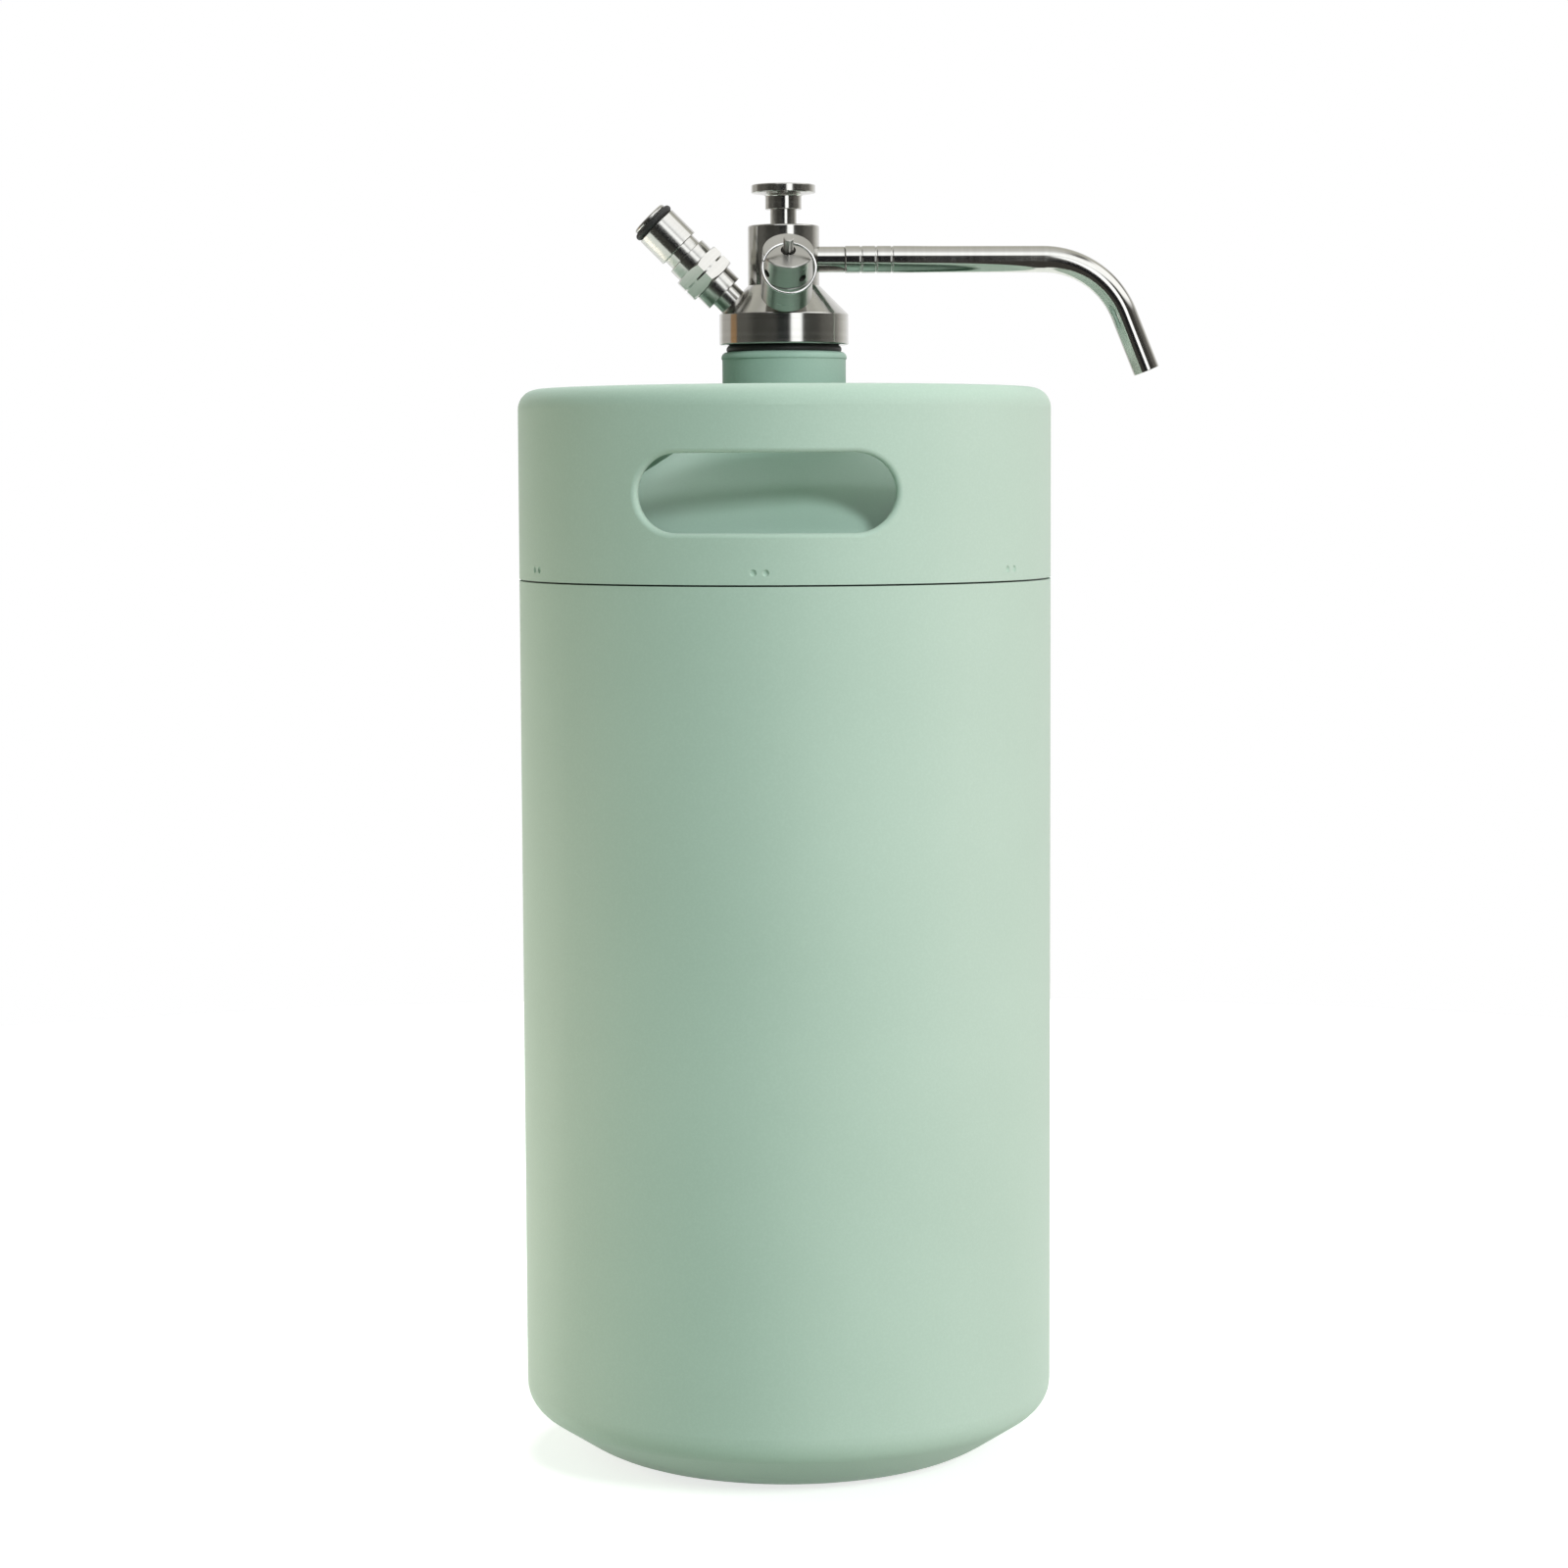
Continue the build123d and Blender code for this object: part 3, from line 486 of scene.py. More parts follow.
def makeTurningMarks():
    group, first, last = newGroup(
        "turningMarks",
        [("Along", "NodeSocketVector", None), ("Pitch mm", "NodeSocketFloat", 0.15)],
        [("Height", "NodeSocketFloat"), ("Streak", "NodeSocketFloat")],
    )
    link = group.links.new
    parts = addNode(group, "ShaderNodeSeparateXYZ", (-600, 100))
    link(first.outputs["Along"], parts.inputs["Vector"])
    scale = perMetre(group, first.outputs["Pitch mm"], (-600, -100))
    ridges = addNode(group, "ShaderNodeTexNoise", (-200, 150), noise_dimensions="1D")
    setInputs(ridges, Detail=2.0, Roughness=0.6)
    link(parts.outputs["Z"], ridges.inputs["W"])
    link(scale, ridges.inputs["Scale"])
    coarser = calc(group, "MULTIPLY", (-400, -200), scale, streakShare)
    streaks = addNode(group, "ShaderNodeTexNoise", (-200, -150), noise_dimensions="1D")
    setInputs(streaks, Detail=3.0, Roughness=0.65)
    link(parts.outputs["Z"], streaks.inputs["W"])
    link(coarser, streaks.inputs["Scale"])
    link(ridges.outputs["Fac"], last.inputs["Height"])
    link(streaks.outputs["Fac"], last.inputs["Streak"])
    return group


def makeHandling():
    group, first, last = newGroup(
        "handling",
        [("Size mm", "NodeSocketFloat", 14.0)],
        [("Smudge", "NodeSocketFloat")],
    )
    link = group.links.new
    place = addNode(group, "ShaderNodeTexCoord", (-900, -300))
    cloud = addNode(group, "ShaderNodeTexNoise", (-300, 0))
    setInputs(cloud, Detail=4.0, Roughness=0.6, Distortion=0.6)
    link(place.outputs["Object"], cloud.inputs["Vector"])
    link(perMetre(group, first.outputs["Size mm"], (-600, 0)), cloud.inputs["Scale"])
    patches = addNode(group, "ShaderNodeMapRange", (100, 0), interpolation_type="SMOOTHSTEP")
    setInputs(patches, From_Min=0.4, From_Max=0.7)
    link(cloud.outputs["Fac"], patches.inputs["Value"])
    link(patches.outputs["Result"], last.inputs["Smudge"])
    return group


groups = {
    "powderGrain": makePowderGrain(),
    "turningMarks": makeTurningMarks(),
    "handling": makeHandling(),
}


def newMaterial(name):
    material = bpy.data.materials.new(name)
    material.use_nodes = True
    tree = material.node_tree
    return material, tree, tree.nodes["Principled BSDF"]


def placeGroup(tree, name, at, **values):
    node = addNode(tree, "ShaderNodeGroup", at, node_tree=groups[name])
    return setInputs(node, **values)


def span(tree, source, low, high, at):  # a mask as a range of values
    node = addNode(tree, "ShaderNodeMapRange", at)
    setInputs(node, To_Min=low, To_Max=high)
    tree.links.new(source, node.inputs["Value"])
    return node.outputs["Result"]


def blendColours(tree, mask, first, second, at):
    node = addNode(tree, "ShaderNodeMix", at, data_type="RGBA")
    node.inputs[6].default_value = (*first, 1)
    node.inputs[7].default_value = (*second, 1)
    tree.links.new(mask, node.inputs[0])
    return node.outputs[2]


def bumpFrom(tree, shader, source, strength, depth, at):
    bump = setInputs(addNode(tree, "ShaderNodeBump", at), Strength=strength, Distance=depth)
    tree.links.new(source, bump.inputs["Height"])
    tree.links.new(bump.outputs["Normal"], shader.inputs["Normal"])


# sage powder coat: two close greens in soft clouds, a fine orange-peel skin
powderCoat = {
    "pale": (0.425, 0.565, 0.465),
    "deep": (0.38, 0.515, 0.417),
    "grainMm": 0.75,
    "cloudMm": 70.0,
    "speckShare": 0.35,
    "roughness": (0.48, 0.58),
    "skinDepth": 0.05 * mm,
    "skinStrength": 0.5,
}
neckCoatWithPaintedShade = {  # painted shade: the shoulder and neck get a darker copy of the sage coat, standing in for the shade inside the collar's well and under the head, and the skirt low down is painted near black, a painted shadow in the gap where the collar meets the shell
    "pale": (0.335, 0.49, 0.395),
    "deep": (0.3, 0.45, 0.36),
    "seamShadow": (0.03, 0.045, 0.035),
    "seamShadowTop": 308.5 * mm,
}


def makePowderCoat(name, coat):
    material, tree, shader = newMaterial(name)
    grain = placeGroup(tree, "powderGrain", (-800, 0))
    setInputs(grain, Grain_mm=powderCoat["grainMm"], Cloud_mm=powderCoat["cloudMm"])
    speck, cloud = grain.outputs["Speck"], grain.outputs["Cloud"]
    mixed = calc(tree, "MULTIPLY_ADD", (-560, 120), speck, powderCoat["speckShare"], cloud)
    colour = blendColours(tree, mixed, coat["deep"], coat["pale"], (-340, 120))
    # painted shadow: below the given height the shoulder's skirt takes a near-black colour, standing in for the
    # shade in the gap where the collar meets the shell
    if "seamShadow" in coat:
        place = addNode(tree, "ShaderNodeTexCoord", (-900, 500))
        parts = addNode(tree, "ShaderNodeSeparateXYZ", (-720, 500))
        tree.links.new(place.outputs["Object"], parts.inputs["Vector"])
        above = calc(tree, "GREATER_THAN", (-540, 500), parts.outputs["Z"], coat["seamShadowTop"])
        mix = addNode(tree, "ShaderNodeMix", (-160, 300), data_type="RGBA")
        mix.inputs[6].default_value = (*coat["seamShadow"], 1)
        tree.links.new(above, mix.inputs[0])
        tree.links.new(colour, mix.inputs[7])
        colour = mix.outputs[2]
    tree.links.new(colour, shader.inputs["Base Color"])
    rough = span(tree, cloud, *powderCoat["roughness"], (-340, -120))
    tree.links.new(rough, shader.inputs["Roughness"])
    skin = powderCoat["skinStrength"], powderCoat["skinDepth"]
    bumpFrom(tree, shader, grain.outputs["Height"], *skin, (-340, -360))
    return material


# stainless steel, turned about an axis: fine ridges round it, dull streaks and finger marks
steelLook = {
    "turned": {
        "pale": (0.58, 0.57, 0.545),
        "grey": (0.5, 0.49, 0.465),
        "rough": (0.15, 0.2),
        "pitchMm": 0.16,
        "depth": 0.003 * mm,
        "anisotropy": 0.75,
    },
    "faced": {
        "pale": (0.58, 0.57, 0.545),
        "grey": (0.5, 0.49, 0.465),
        "rough": (0.25, 0.32),
        "pitchMm": 0.16,
        "depth": 0.003 * mm,
        "anisotropy": 0.8,
    },
    "polished": {
        "pale": (0.6, 0.59, 0.565),
        "grey": (0.53, 0.52, 0.495),
        "rough": (0.06, 0.11),
        "pitchMm": 0.3,
        "depth": 0.002 * mm,
        "anisotropy": 0.0,
    },
    "drawn": {
        "pale": (0.68, 0.67, 0.65),
        "grey": (0.6, 0.59, 0.57),
        "rough": (0.1, 0.18),
        "pitchMm": 0.3,
        "depth": 0.002 * mm,
        "anisotropy": 0.0,
    },
    "wire": {
        "pale": (0.78, 0.77, 0.76),
        "grey": (0.68, 0.67, 0.66),
        "rough": (0.14, 0.24),
        "pitchMm": 0.2,
        "depth": 0.002 * mm,
        "anisotropy": 0.0,
    },
}

toolMarks = {"smudgeShare": 0.5, "strength": 0.08, "acrossTurn": 0.25}


def makeSteel(name, look, axisFrame):
    material, tree, shader = newMaterial(name)
    place = addNode(tree, "ShaderNodeTexCoord", (-1300, 0))
    along = addNode(tree, "ShaderNodeMapping", (-1100, 0), vector_type="TEXTURE")
    along.inputs["Location"].default_value = axisFrame.translation
    along.inputs["Rotation"].default_value = axisFrame.to_euler()
    tree.links.new(place.outputs["Object"], along.inputs["Vector"])
    marks = placeGroup(tree, "turningMarks", (-850, 100), Pitch_mm=look["pitchMm"])
    tree.links.new(along.outputs["Vector"], marks.inputs["Along"])
    hands = placeGroup(tree, "handling", (-850, -150))
    smudge, streak = hands.outputs["Smudge"], marks.outputs["Streak"]
    colour = blendColours(tree, streak, look["grey"], look["pale"], (-340, 160))
    tree.links.new(colour, shader.inputs["Base Color"])
    dull = calc(tree, "MULTIPLY_ADD", (-600, -100), smudge, toolMarks["smudgeShare"], streak)
    tree.links.new(span(tree, dull, *look["rough"], (-340, -80)), shader.inputs["Roughness"])
    shader.inputs["Metallic"].default_value = 1.0
    if look["anisotropy"]:  # the tool's marks run round the axis, so gloss spreads along it
        setInputs(shader, Anisotropic=look["anisotropy"], Anisotropic_Rotation=toolMarks["acrossTurn"])
        arm = addNode(tree, "ShaderNodeVectorMath", (-1100, -500), operation="SUBTRACT")
        arm.inputs[1].default_value = axisFrame.translation
        tree.links.new(place.outputs["Object"], arm.inputs[0])
        aroundAxis = addNode(tree, "ShaderNodeVectorMath", (-900, -500), operation="CROSS_PRODUCT")
        aroundAxis.inputs[0].default_value = axisFrame.col[2].to_3d()
        tree.links.new(arm.outputs["Vector"], aroundAxis.inputs[1])
        tree.links.new(aroundAxis.outputs["Vector"], shader.inputs["Tangent"])
    bumpFrom(tree, shader, marks.outputs["Height"], toolMarks["strength"], look["depth"], (-340, -320))
    return material


# black rubber: matt, a little grey where it is rubbed
rubberLook = {
    "black": (0.012, 0.012, 0.012),
    "rubbed": (0.03, 0.03, 0.029),
    "rough": (0.42, 0.62),
    "grainMm": 0.5,
    "cloudMm": 9.0,
    "skinDepth": 0.02 * mm,
    "skinStrength": 0.3,
}


def makeRubber():
    material, tree, shader = newMaterial("blackRubber")
    grain = placeGroup(tree, "powderGrain", (-800, 0))
    setInputs(grain, Grain_mm=rubberLook["grainMm"], Cloud_mm=rubberLook["cloudMm"])
    cloud = grain.outputs["Cloud"]
    colour = blendColours(tree, cloud, rubberLook["black"], rubberLook["rubbed"], (-340, 120))
    tree.links.new(colour, shader.inputs["Base Color"])
    rough = span(tree, cloud, *rubberLook["rough"], (-340, -100))
    tree.links.new(rough, shader.inputs["Roughness"])
    skin = rubberLook["skinStrength"], rubberLook["skinDepth"]
    bumpFrom(tree, shader, grain.outputs["Height"], *skin, (-340, -320))
    return material


finishes = {
    "powder": makePowderCoat("sagePowderCoat", powderCoat),
    "neckPowderWithPaintedShade": makePowderCoat("sageNeckCoatWithPaintedShade", neckCoatWithPaintedShade),
    "rubber": makeRubber(),
    "turnedHead": makeSteel("turnedSteelHead", steelLook["turned"], headFrame),
    "turnedGas": makeSteel("turnedSteelGas", steelLook["turned"], gasFrame),
    "turnedRelief": makeSteel("facedSteelRelief", steelLook["faced"], reliefFrame),
    "polishedSpout": makeSteel("polishedSteelSpout", steelLook["polished"], spoutFrame),
    "drawn": makeSteel("drawnSteel", steelLook["drawn"], headFrame),
    "wire": makeSteel("wireSteel", steelLook["wire"], reliefFrame),
}
nodeFinish = {
    "powder": ["outer_shell", "handle_collar"],
    "neckPowderWithPaintedShade": ["shoulder", "neck_ring"],
    "rubber": [
        "neck_gasket",
        "stem_o_ring",
        "poppet_seal",
        "holder_o_ring",
        "spout_o_rings",
        "gas_post_o_ring",
        "gas_poppet_seal",
        "relief_seal",
    ],
    "turnedHead": ["tap_body", "gland_bush", "plunger_stem", "push_knob", "valve_poppet", "dip_tube_holder"],
    "turnedGas": ["gas_nipple", "gas_post", "gas_poppet"],
    "turnedRelief": ["relief_base", "relief_cap", "relief_stem"],
    "polishedSpout": ["outlet_stub", "spout_tube"],
    "drawn": ["inner_liner", "base_plate", "vacuum_plug", "dip_tube"],
    "wire": ["return_spring", "gas_poppet_spring", "relief_spring", "pull_ring"],
}
for finish, names in nodeFinish.items():
    for name in names:
        nodes[name].data.materials.clear()
        nodes[name].data.materials.append(finishes[finish])
print("finishes on", sum(len(names) for names in nodeFinish.values()), "nodes")


# meshes for pieces that stand for a solid
def addPiece(name, mesh, body, slot, *stands):
    piece = bpy.data.objects.new(name, mesh)
    scene.collection.objects.link(piece)
    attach(piece, body)
    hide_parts(*stands)
    return piece


def smoothMesh(mesh, sharpAngle):
    mesh.polygons.foreach_set("use_smooth", [True] * len(mesh.polygons))
    mesh.set_sharp_from_angle(angle=radians(sharpAngle))


def ringsToMesh(name, outline, segments):  # closed outline of radius and height, turned about Z
    shape = bmesh.new()
    rings = []
    for radius, height in outline:
        turns = [2 * pi * step / segments for step in range(segments)]
        rings.append([shape.verts.new((radius * cos(turn), radius * sin(turn), height)) for turn in turns])
    for number in range(len(rings)):
        inner, outer = rings[number], rings[(number + 1) % len(rings)]
        for step in range(segments):
            after = (step + 1) % segments
            shape.faces.new((inner[step], inner[after], outer[after], outer[step]))
    bmesh.ops.recalc_face_normals(shape, faces=shape.faces)
    mesh = bpy.data.meshes.new(name)
    shape.to_mesh(mesh)
    shape.free()
    return mesh


# neck gasket: soft ring squeezed until its side bulges, most of all near the lip
gasket = {
    "bore": 18.4 * mm,
    "topEdge": 18.85 * mm,
    "bulge": 19.9 * mm,
    "footEdge": 19.5 * mm,
    "bulgeShare": 0.36,
    "footCurve": 2,
    "topCurve": 2.2,
    "steps": 14,
    "around": 160,
    "sharpAngle": 50,
}


def makeGasket():
    low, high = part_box("neck_gasket")
    bottom, top = low.z, high.z
    outline = [(gasket["bore"], top), (gasket["bore"], bottom)]
    peak = bottom + (top - bottom) * gasket["bulgeShare"]
    for step in range(gasket["steps"] + 1):
        height = bottom + (top - bottom) * step / gasket["steps"]
        if height < peak:
            edge = gasket["footEdge"]
            swell = 1 - ((peak - height) / (peak - bottom)) ** gasket["footCurve"]
        else:
            edge = gasket["topEdge"]
            swell = 1 - ((height - peak) / (top - peak)) ** gasket["topCurve"]
        outline.append((edge + (gasket["bulge"] - edge) * swell, height))
    mesh = ringsToMesh("neckGasket", outline, gasket["around"])
    smoothMesh(mesh, gasket["sharpAngle"])
    mesh.materials.append(finishes["rubber"])
    addPiece("neckGasket", mesh, "gasket", "black_rubber", "neck_gasket")


# node trees that make meshes
def newTree(name, inputs):
    tree = bpy.data.node_groups.new(name, "GeometryNodeTree")
    tree.interface.new_socket("Geometry", in_out="INPUT", socket_type="NodeSocketGeometry")
    for socketName, kind, value in inputs:
        socket = tree.interface.new_socket(socketName, in_out="INPUT", socket_type=kind)
        if value is not None:
            socket.default_value = value
    tree.interface.new_socket("Geometry", in_out="OUTPUT", socket_type="NodeSocketGeometry")
    first = addNode(tree, "NodeGroupInput", (-1600, 0))
    last = addNode(tree, "NodeGroupOutput", (1600, 0))
    return tree, first, last


def easeIn(tree, source, low, high, at):  # 0 below low, 1 above high
    node = addNode(tree, "ShaderNodeMapRange", at, interpolation_type="SMOOTHSTEP")
    for name, value in (("Value", source), ("From Min", low), ("From Max", high)):
        tree.links.new(value, node.inputs[name])
    return node.outputs["Result"]


def finishTree(tree, geometry, last):
    smooth = addNode(tree, "GeometryNodeSetShadeSmooth", (1000, 0))
    realize = addNode(tree, "GeometryNodeRealizeInstances", (1200, 0))
    coat = addNode(tree, "GeometryNodeSetMaterial", (1400, 0))
    tree.links.new(geometry, smooth.inputs["Geometry"])
    tree.links.new(smooth.outputs["Geometry"], realize.inputs["Geometry"])
    tree.links.new(realize.outputs["Geometry"], coat.inputs["Geometry"])
    tree.links.new(coat.outputs["Geometry"], last.inputs["Geometry"])
    return coat


def runTree(name, start, tree, values):  # plain mesh from a tree with its named inputs set
    maker = bpy.data.objects.new(name, start)
    scene.collection.objects.link(maker)
    modifier = maker.modifiers.new(name, "NODES")
    modifier.node_group = tree
    for item in tree.interface.items_tree:
        if item.in_out == "INPUT" and item.name in values:
            modifier[item.identifier] = values[item.name]
    depsgraph = bpy.context.evaluated_depsgraph_get()
    mesh = bpy.data.meshes.new_from_object(maker.evaluated_get(depsgraph))
    maker.modifiers.clear()
    bpy.data.objects.remove(maker)
    mesh.name = name
    return mesh


# screw thread: a grid wrapped round the plug, with a rounded ridge that climbs one pitch a turn
plugThread = {
    "crest": 17.9 * mm,
    "pitch": 2.0 * mm,
    "depth": 0.85 * mm,
    "ridge": (0.85, 0.5),  # gain and middle of the wave that makes it
    "endGap": 0.6 * mm,
    "fade": 1.6 * mm,
    "around": 144,
    "perTurn": 14,
    "wallPlay": 0.03 * mm,
    "wallEnds": (1.0 * mm, 0.1 * mm),  # how far past its ends the plain wall is looked for
    "sharpAngle": 35,
}


def makeThreadTree():
    floats = ("Crest", "Depth", "Pitch", "Bottom", "Top", "Fade")
    tree, first, last = newTree(
        "screwThread",
        [(name, "NodeSocketFloat", 0.001) for name in floats]
        + [(name, "NodeSocketInt", 96) for name in ("Around", "Along")]
        + [("Finish", "NodeSocketMaterial", None)],
    )
    size = first.outputs
    grid = setInputs(addNode(tree, "GeometryNodeMeshGrid", (-1300, 300)), Size_X=1.0, Size_Y=1.0)
    tree.links.new(size["Around"], grid.inputs["Vertices X"])
    tree.links.new(size["Along"], grid.inputs["Vertices Y"])
    place = addNode(tree, "GeometryNodeInputPosition", (-1300, -200))
    parts = addNode(tree, "ShaderNodeSeparateXYZ", (-1120, -200))
    tree.links.new(place.outputs["Position"], parts.inputs["Vector"])
    turn = calc(tree, "ADD", (-940, -100), parts.outputs["X"], 0.5)
    share = calc(tree, "ADD", (-940, -300), parts.outputs["Y"], 0.5)
    length = calc(tree, "SUBTRACT", (-940, -500), size["Top"], size["Bottom"])
    height = calc(tree, "MULTIPLY_ADD", (-760, -300), share, length, size["Bottom"])
    climb = calc(tree, "DIVIDE", (-580, -300), height, size["Pitch"])
    phase = calc(tree, "SUBTRACT", (-400, -300), climb, turn)
    wave = calc(tree, "COSINE", (-40, -300), calc(tree, "MULTIPLY", (-220, -300), phase, 2 * pi))
    ridge = addNode(tree, "ShaderNodeClamp", (320, -300))
    raised = calc(tree, "MULTIPLY_ADD", (140, -300), wave, *plugThread["ridge"])
    tree.links.new(raised, ridge.inputs["Value"])
    fullFrom = calc(tree, "ADD", (-400, -600), size["Bottom"], size["Fade"])
    fullTo = calc(tree, "SUBTRACT", (-400, -800), size["Top"], size["Fade"])
    lowEnd = easeIn(tree, height, size["Bottom"], fullFrom, (-220, -600))
    highEnd = easeIn(tree, height, fullTo, size["Top"], (-220, -800))
    fade = calc(tree, "MULTIPLY", (140, -600), lowEnd, calc(tree, "SUBTRACT", (-40, -800), 1.0, highEnd))
    faded = calc(tree, "MULTIPLY", (320, -500), ridge.outputs["Result"], fade)
    cut = calc(tree, "MULTIPLY", (500, -400), faded, size["Depth"])
    radius = calc(tree, "SUBTRACT", (680, -300), size["Crest"], cut)
    angle = calc(tree, "MULTIPLY", (-760, -100), turn, 2 * pi)
    point = addNode(tree, "ShaderNodeCombineXYZ", (860, -200))
    across = calc(tree, "MULTIPLY", (680, -100), radius, calc(tree, "COSINE", (-580, 0), angle))
    side = calc(tree, "MULTIPLY", (680, 0), radius, calc(tree, "SINE", (-580, -120), angle))
    for name, value in (("X", across), ("Y", side), ("Z", height)):
        tree.links.new(value, point.inputs[name])
    wrap = addNode(tree, "GeometryNodeSetPosition", (700, 300))
    tree.links.new(grid.outputs["Mesh"], wrap.inputs["Geometry"])
    tree.links.new(point.outputs["Vector"], wrap.inputs["Position"])
    weld = setInputs(addNode(tree, "GeometryNodeMergeByDistance", (860, 300)), Distance=mergeDistance)
    tree.links.new(wrap.outputs["Geometry"], weld.inputs["Geometry"])
    coat = finishTree(tree, weld.outputs["Geometry"], last)
    tree.links.new(size["Finish"], coat.inputs["Material"])
    return tree


def rimLoops(shape):  # the open edges of a mesh, sorted into loops by height
    loops = {}
    for edge in shape.edges:
        if edge.is_boundary:
            loops.setdefault(round(edge.verts[0].co.z, 5), []).append(edge)
    return loops


def onPlugWall(face, bottom, top):
    below, above = plugThread["wallEnds"]
    return all(
        abs(hypot(vert.co.x, vert.co.y) - plugThread["crest"]) < plugThread["wallPlay"]
        and bottom - below < vert.co.z < top + above
        for vert in face.verts
    )


def makeThreadedPlug():
    source = nodes["tap_body"].data
    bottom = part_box("tap_body")[0].z
    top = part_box("neck_gasket")[1].z
    shape = bmesh.new()
    shape.from_mesh(source)
    kept = shape.loops.layers.float_vector.new("keptNormal")
    for face in shape.faces:
        for loop in face.loops:
            loop[kept] = source.corner_normals[loop.index].vector
    bmesh.ops.remove_doubles(shape, verts=shape.verts, dist=mergeDistance)
    wall = [face for face in shape.faces if onPlugWall(face, bottom, top)]
    bmesh.ops.delete(shape, geom=wall, context="FACES")
    turnsUp = (top - bottom) / plugThread["pitch"]
    thread = runTree(
        "plugThread",
        bpy.data.meshes.new("plugThreadStart"),
        makeThreadTree(),
        {
            "Crest": plugThread["crest"],
            "Depth": plugThread["depth"],
            "Pitch": plugThread["pitch"],
            "Bottom": bottom + plugThread["endGap"],
            "Top": top - plugThread["endGap"],
            "Fade": plugThread["fade"],
            "Around": plugThread["around"] + 1,
            "Along": int(turnsUp * plugThread["perTurn"]),
            "Finish": finishes["turnedHead"],
        },
    )
    shape.from_mesh(thread)
    loops = rimLoops(shape)
    for level in (bottom, top):
        near = [edges for height, edges in loops.items() if abs(height - level) < 2 * plugThread["endGap"]]
        bmesh.ops.bridge_loops(shape, edges=[edge for edges in near for edge in edges])
    mesh = bpy.data.meshes.new("tapBody")
    for face in shape.faces:
        face.smooth = True
        face.material_index = 0
    shape.to_mesh(mesh)
    shape.free()
    mesh.set_sharp_from_angle(angle=radians(plugThread["sharpAngle"]))
    normals = [tuple(value.vector) for value in mesh.attributes["keptNormal"].data]
    mesh.normals_split_custom_set(normals)
    mesh.attributes.remove(mesh.attributes["keptNormal"])
    mesh.materials.clear()
    mesh.materials.append(finishes["turnedHead"])
    addPiece("tapBody", mesh, "tap_head", "turned_steel", "tap_body")


# spout: the outline of its wall, turned about its line and bent along it
spout = {
    "start": 20.85 * mm,  # from the keg's axis
    "diameter": 9.2 * mm,
    "bore": 7.5 * mm,
    "sleeve": 9.4 * mm,
    "sleeveLength": 20.2 * mm,
    "grooves": (5.8 * mm, 11.05 * mm, 16.5 * mm),
    "grooveHalf": 0.32 * mm,
    "grooveDepth": 0.2 * mm,
    "grooveSquare": 6,  # how sharply a groove's sides fall
    "grooveReach": 0.8 * mm,  # finer steps on either side of a groove
    "sleeveFade": (-2 * mm, 14 * mm),  # where the sleeve narrows to the tube, from its end
    "straight": 68.95 * mm,
    "bendRadius": 30.5 * mm,
    "bendAngle": 68,
    "end": 21.1 * mm,
    "startEdge": 0.7 * mm,
    "endEdge": 0.3 * mm,
    "leastWall": 0.1 * mm,
    "steps": {"startEdge": 8, "groove": 32, "fade": 12, "straight": 5, "bend": 48, "endEdge": 6},
    "around": 72,
    "sharpAngle": 40,
}


def steps(low, high, count):
    return [low + (high - low) * step / count for step in range(count)]


def spoutOutline():  # distance along the line and radius: out along the outside, back along the bore
    bendStart = spout["straight"]
    bendEnd = bendStart + spout["bendRadius"] * radians(spout["bendAngle"])
    total = bendEnd + spout["end"]
    startEdge, endEdge, reach = spout["startEdge"], spout["endEdge"], spout["grooveReach"]
    fadeStart, fadeEnd = (spout["sleeveLength"] + place for place in spout["sleeveFade"])
    count = spout["steps"]
    bend = steps(bendStart, bendEnd, count["bend"]) + [bendEnd]
    outer = steps(0, startEdge, count["startEdge"]) + [startEdge]
    for groove in spout["grooves"]:
        outer += steps(groove - reach, groove + reach, count["groove"])
    outer += steps(fadeStart, fadeEnd, count["fade"]) + steps(fadeEnd, bendStart, count["straight"])
    outer += bend + steps(total - endEdge, total, count["endEdge"]) + [total]
    outline = []
    for along in outer:
        radius = spout["sleeve"] / 2
        past = min(max((along - fadeStart) / (fadeEnd - fadeStart), 0), 1)
        radius += (spout["diameter"] - spout["sleeve"]) / 2 * past * past * (3 - 2 * past)
        for groove in spout["grooves"]:
            away = (along - groove) / spout["grooveHalf"]
            radius -= spout["grooveDepth"] / (1 + away ** spout["grooveSquare"])
        for edge, near in ((startEdge, along), (endEdge, total - along)):
            if near < edge:
                radius -= edge * (1 - (1 - (1 - near / edge) ** 2) ** 0.5)
        outline.append((along, 0, max(radius, spout["bore"] / 2 + spout["leastWall"])))
    outline += [(along, 0, spout["bore"] / 2) for along in [total, *reversed(bend), 0]]
    return outline + outline[:1]


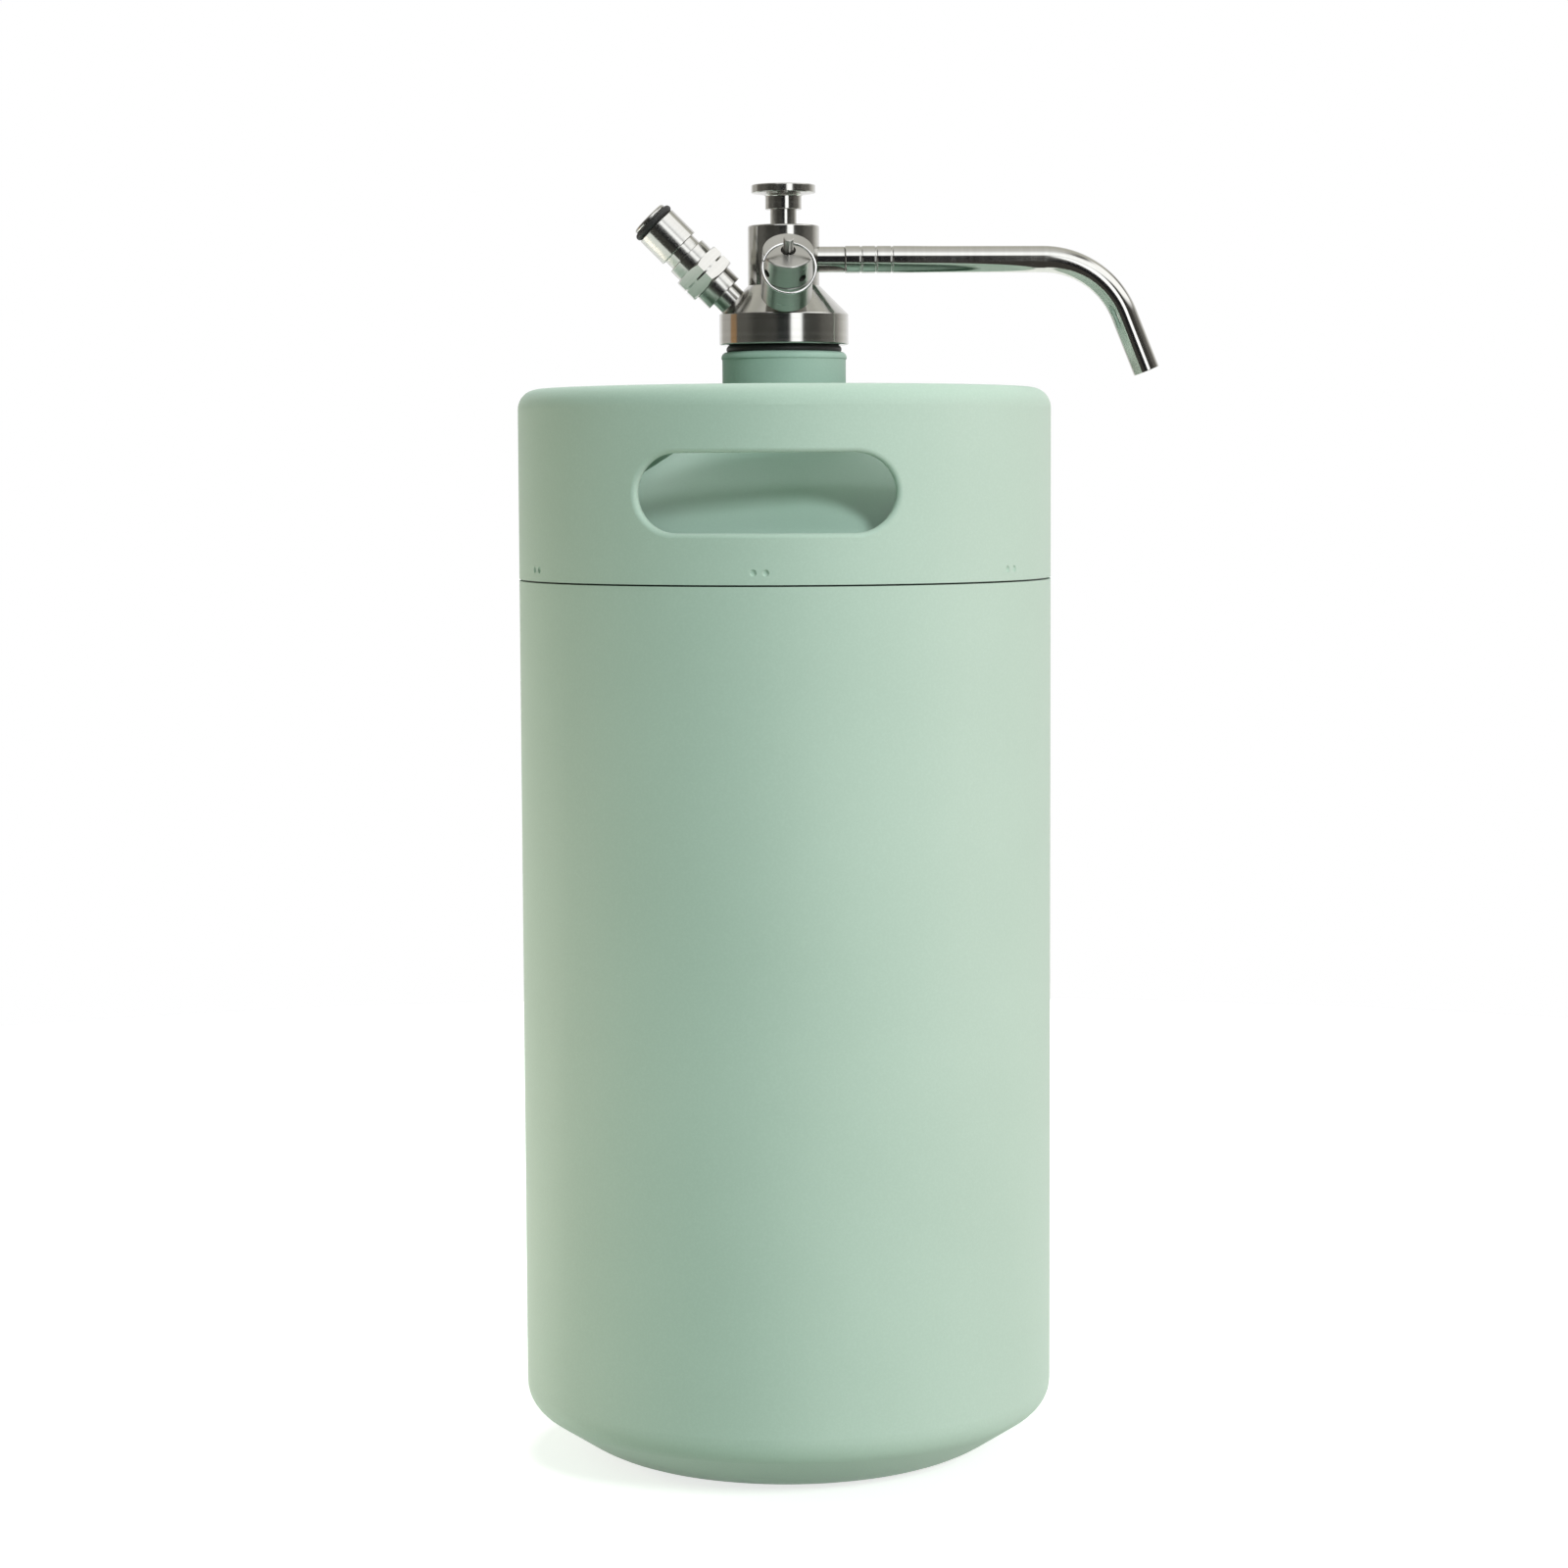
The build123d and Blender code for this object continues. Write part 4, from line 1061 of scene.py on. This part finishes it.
def makeSweepTree():
    floats = ("Start", "Level", "Straight", "Bend Radius", "Bend Angle", "Turn")
    tree, first, last = newTree(
        "sweptTube",
        [(name, "NodeSocketFloat", 0.0) for name in floats]
        + [("Around", "NodeSocketInt", 48), ("Finish", "NodeSocketMaterial", None)],
    )
    size = first.outputs
    rows = addNode(tree, "GeometryNodeAttributeDomainSize", (-1400, 500))
    tree.links.new(size["Geometry"], rows.inputs["Geometry"])
    grid = setInputs(addNode(tree, "GeometryNodeMeshGrid", (-1200, 500)), Size_X=1.0, Size_Y=1.0)
    tree.links.new(size["Around"], grid.inputs["Vertices X"])
    tree.links.new(rows.outputs["Point Count"], grid.inputs["Vertices Y"])
    place = addNode(tree, "GeometryNodeInputPosition", (-1400, -100))
    number = addNode(tree, "GeometryNodeInputIndex", (-1400, 200))
    row = calc(tree, "MODULO", (-1200, 200), number.outputs["Index"], rows.outputs["Point Count"])
    sample = addNode(tree, "GeometryNodeSampleIndex", (-1000, 200), data_type="FLOAT_VECTOR", domain="POINT")
    tree.links.new(size["Geometry"], sample.inputs["Geometry"])
    tree.links.new(place.outputs["Position"], sample.inputs["Value"])
    tree.links.new(row, sample.inputs["Index"])
    wall = addNode(tree, "ShaderNodeSeparateXYZ", (-820, 200))
    tree.links.new(sample.outputs["Value"], wall.inputs["Vector"])
    along, radius = wall.outputs["X"], wall.outputs["Z"]
    across = addNode(tree, "ShaderNodeSeparateXYZ", (-1200, -100))
    tree.links.new(place.outputs["Position"], across.inputs["Vector"])
    share = calc(tree, "ADD", (-1000, -100), across.outputs["X"], 0.5)
    turn = calc(tree, "MULTIPLY", (-820, -100), share, 2 * pi)
    lift = calc(tree, "MULTIPLY", (-400, 0), radius, calc(tree, "SINE", (-620, 0), turn))
    side = calc(tree, "MULTIPLY", (-400, -160), radius, calc(tree, "COSINE", (-620, -160), turn))
    past = calc(tree, "SUBTRACT", (-620, 400), along, size["Straight"])
    angle = calc(tree, "DIVIDE", (-440, 400), past, size["Bend Radius"])
    angle = calc(tree, "MAXIMUM", (-260, 400), angle, 0.0)
    angle = calc(tree, "MINIMUM", (-80, 400), angle, size["Bend Angle"])
    bendLength = calc(tree, "MULTIPLY", (-440, 640), size["Bend Radius"], size["Bend Angle"])
    beyond = calc(tree, "MAXIMUM", (-80, 640), calc(tree, "SUBTRACT", (-260, 640), past, bendLength), 0.0)
    sine, cosine = calc(tree, "SINE", (100, 400), angle), calc(tree, "COSINE", (100, 240), angle)
    ahead = calc(tree, "MINIMUM", (-80, 800), along, size["Straight"])
    run = calc(tree, "ADD", (100, 800), size["Start"], ahead)
    run = calc(tree, "MULTIPLY_ADD", (280, 800), size["Bend Radius"], sine, run)
    run = calc(tree, "MULTIPLY_ADD", (460, 800), beyond, cosine, run)
    run = calc(tree, "MULTIPLY_ADD", (640, 800), lift, sine, run)
    drop = calc(tree, "SUBTRACT", (280, 0), 1.0, cosine)
    fall = calc(tree, "MULTIPLY", (460, 0), size["Bend Radius"], drop)
    fall = calc(tree, "MULTIPLY_ADD", (640, 0), beyond, sine, fall)
    middle = calc(tree, "SUBTRACT", (460, 200), size["Level"], fall)
    height = calc(tree, "MULTIPLY_ADD", (640, 200), lift, cosine, middle)
    point = addNode(tree, "ShaderNodeCombineXYZ", (820, 300))
    for name, value in (("X", run), ("Y", side), ("Z", height)):
        tree.links.new(value, point.inputs[name])
    turned = addNode(tree, "ShaderNodeVectorRotate", (1000, 300), rotation_type="Z_AXIS")
    tree.links.new(point.outputs["Vector"], turned.inputs["Vector"])
    tree.links.new(size["Turn"], turned.inputs["Angle"])
    bend = addNode(tree, "GeometryNodeSetPosition", (700, 500))
    tree.links.new(grid.outputs["Mesh"], bend.inputs["Geometry"])
    tree.links.new(turned.outputs["Vector"], bend.inputs["Position"])
    weld = setInputs(addNode(tree, "GeometryNodeMergeByDistance", (860, 500)), Distance=mergeDistance)
    tree.links.new(bend.outputs["Geometry"], weld.inputs["Geometry"])
    coat = finishTree(tree, weld.outputs["Geometry"], last)
    tree.links.new(size["Finish"], coat.inputs["Material"])
    return tree


def makeSpout():
    start = bpy.data.meshes.new("spoutOutline")
    start.from_pydata(spoutOutline(), [], [])
    mesh = runTree(
        "spoutTube",
        start,
        makeSweepTree(),
        {
            "Start": spout["start"],
            "Level": spoutLevel,
            "Straight": spout["straight"],
            "Bend Radius": spout["bendRadius"],
            "Bend Angle": radians(spout["bendAngle"]),
            "Turn": atan2(spoutAxis.y, spoutAxis.x),
            "Around": spout["around"] + 1,
            "Finish": finishes["polishedSpout"],
        },
    )
    shape = bmesh.new()
    shape.from_mesh(mesh)
    bmesh.ops.recalc_face_normals(shape, faces=shape.faces)
    shape.to_mesh(mesh)
    shape.free()
    smoothMesh(mesh, spout["sharpAngle"])
    addPiece("spoutTube", mesh, "spout", "drawn_steel", "spout_tube")


# valve springs: each a welded, smoothed copy of its spring's mesh in wire steel, fixed to the tap head
springs = {
    "returnSpring": {"node": "return_spring", "joint": "knob_press"},
    "gasPoppetSpring": {"node": "gas_poppet_spring", "joint": "gas_poppet_press"},
    "reliefSpring": {"node": "relief_spring", "joint": "relief_pull"},
}
springSharpAngle = 50


def makeSprings():
    for name, spring in springs.items():
        shape = bmesh.new()
        shape.from_mesh(nodes[spring["node"]].data)
        bmesh.ops.remove_doubles(shape, verts=shape.verts, dist=mergeDistance)
        mesh = bpy.data.meshes.new(name)
        shape.to_mesh(mesh)
        shape.free()
        smoothMesh(mesh, springSharpAngle)
        mesh.materials.clear()
        mesh.materials.append(finishes["wire"])
        piece = addPiece(name, mesh, "tap_head", "wire_steel", spring["node"])
        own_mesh(piece)


makeGasket()
makeThreadedPlug()
makeSpout()
makeSprings()
print("gasket, threaded plug, spout and springs made")
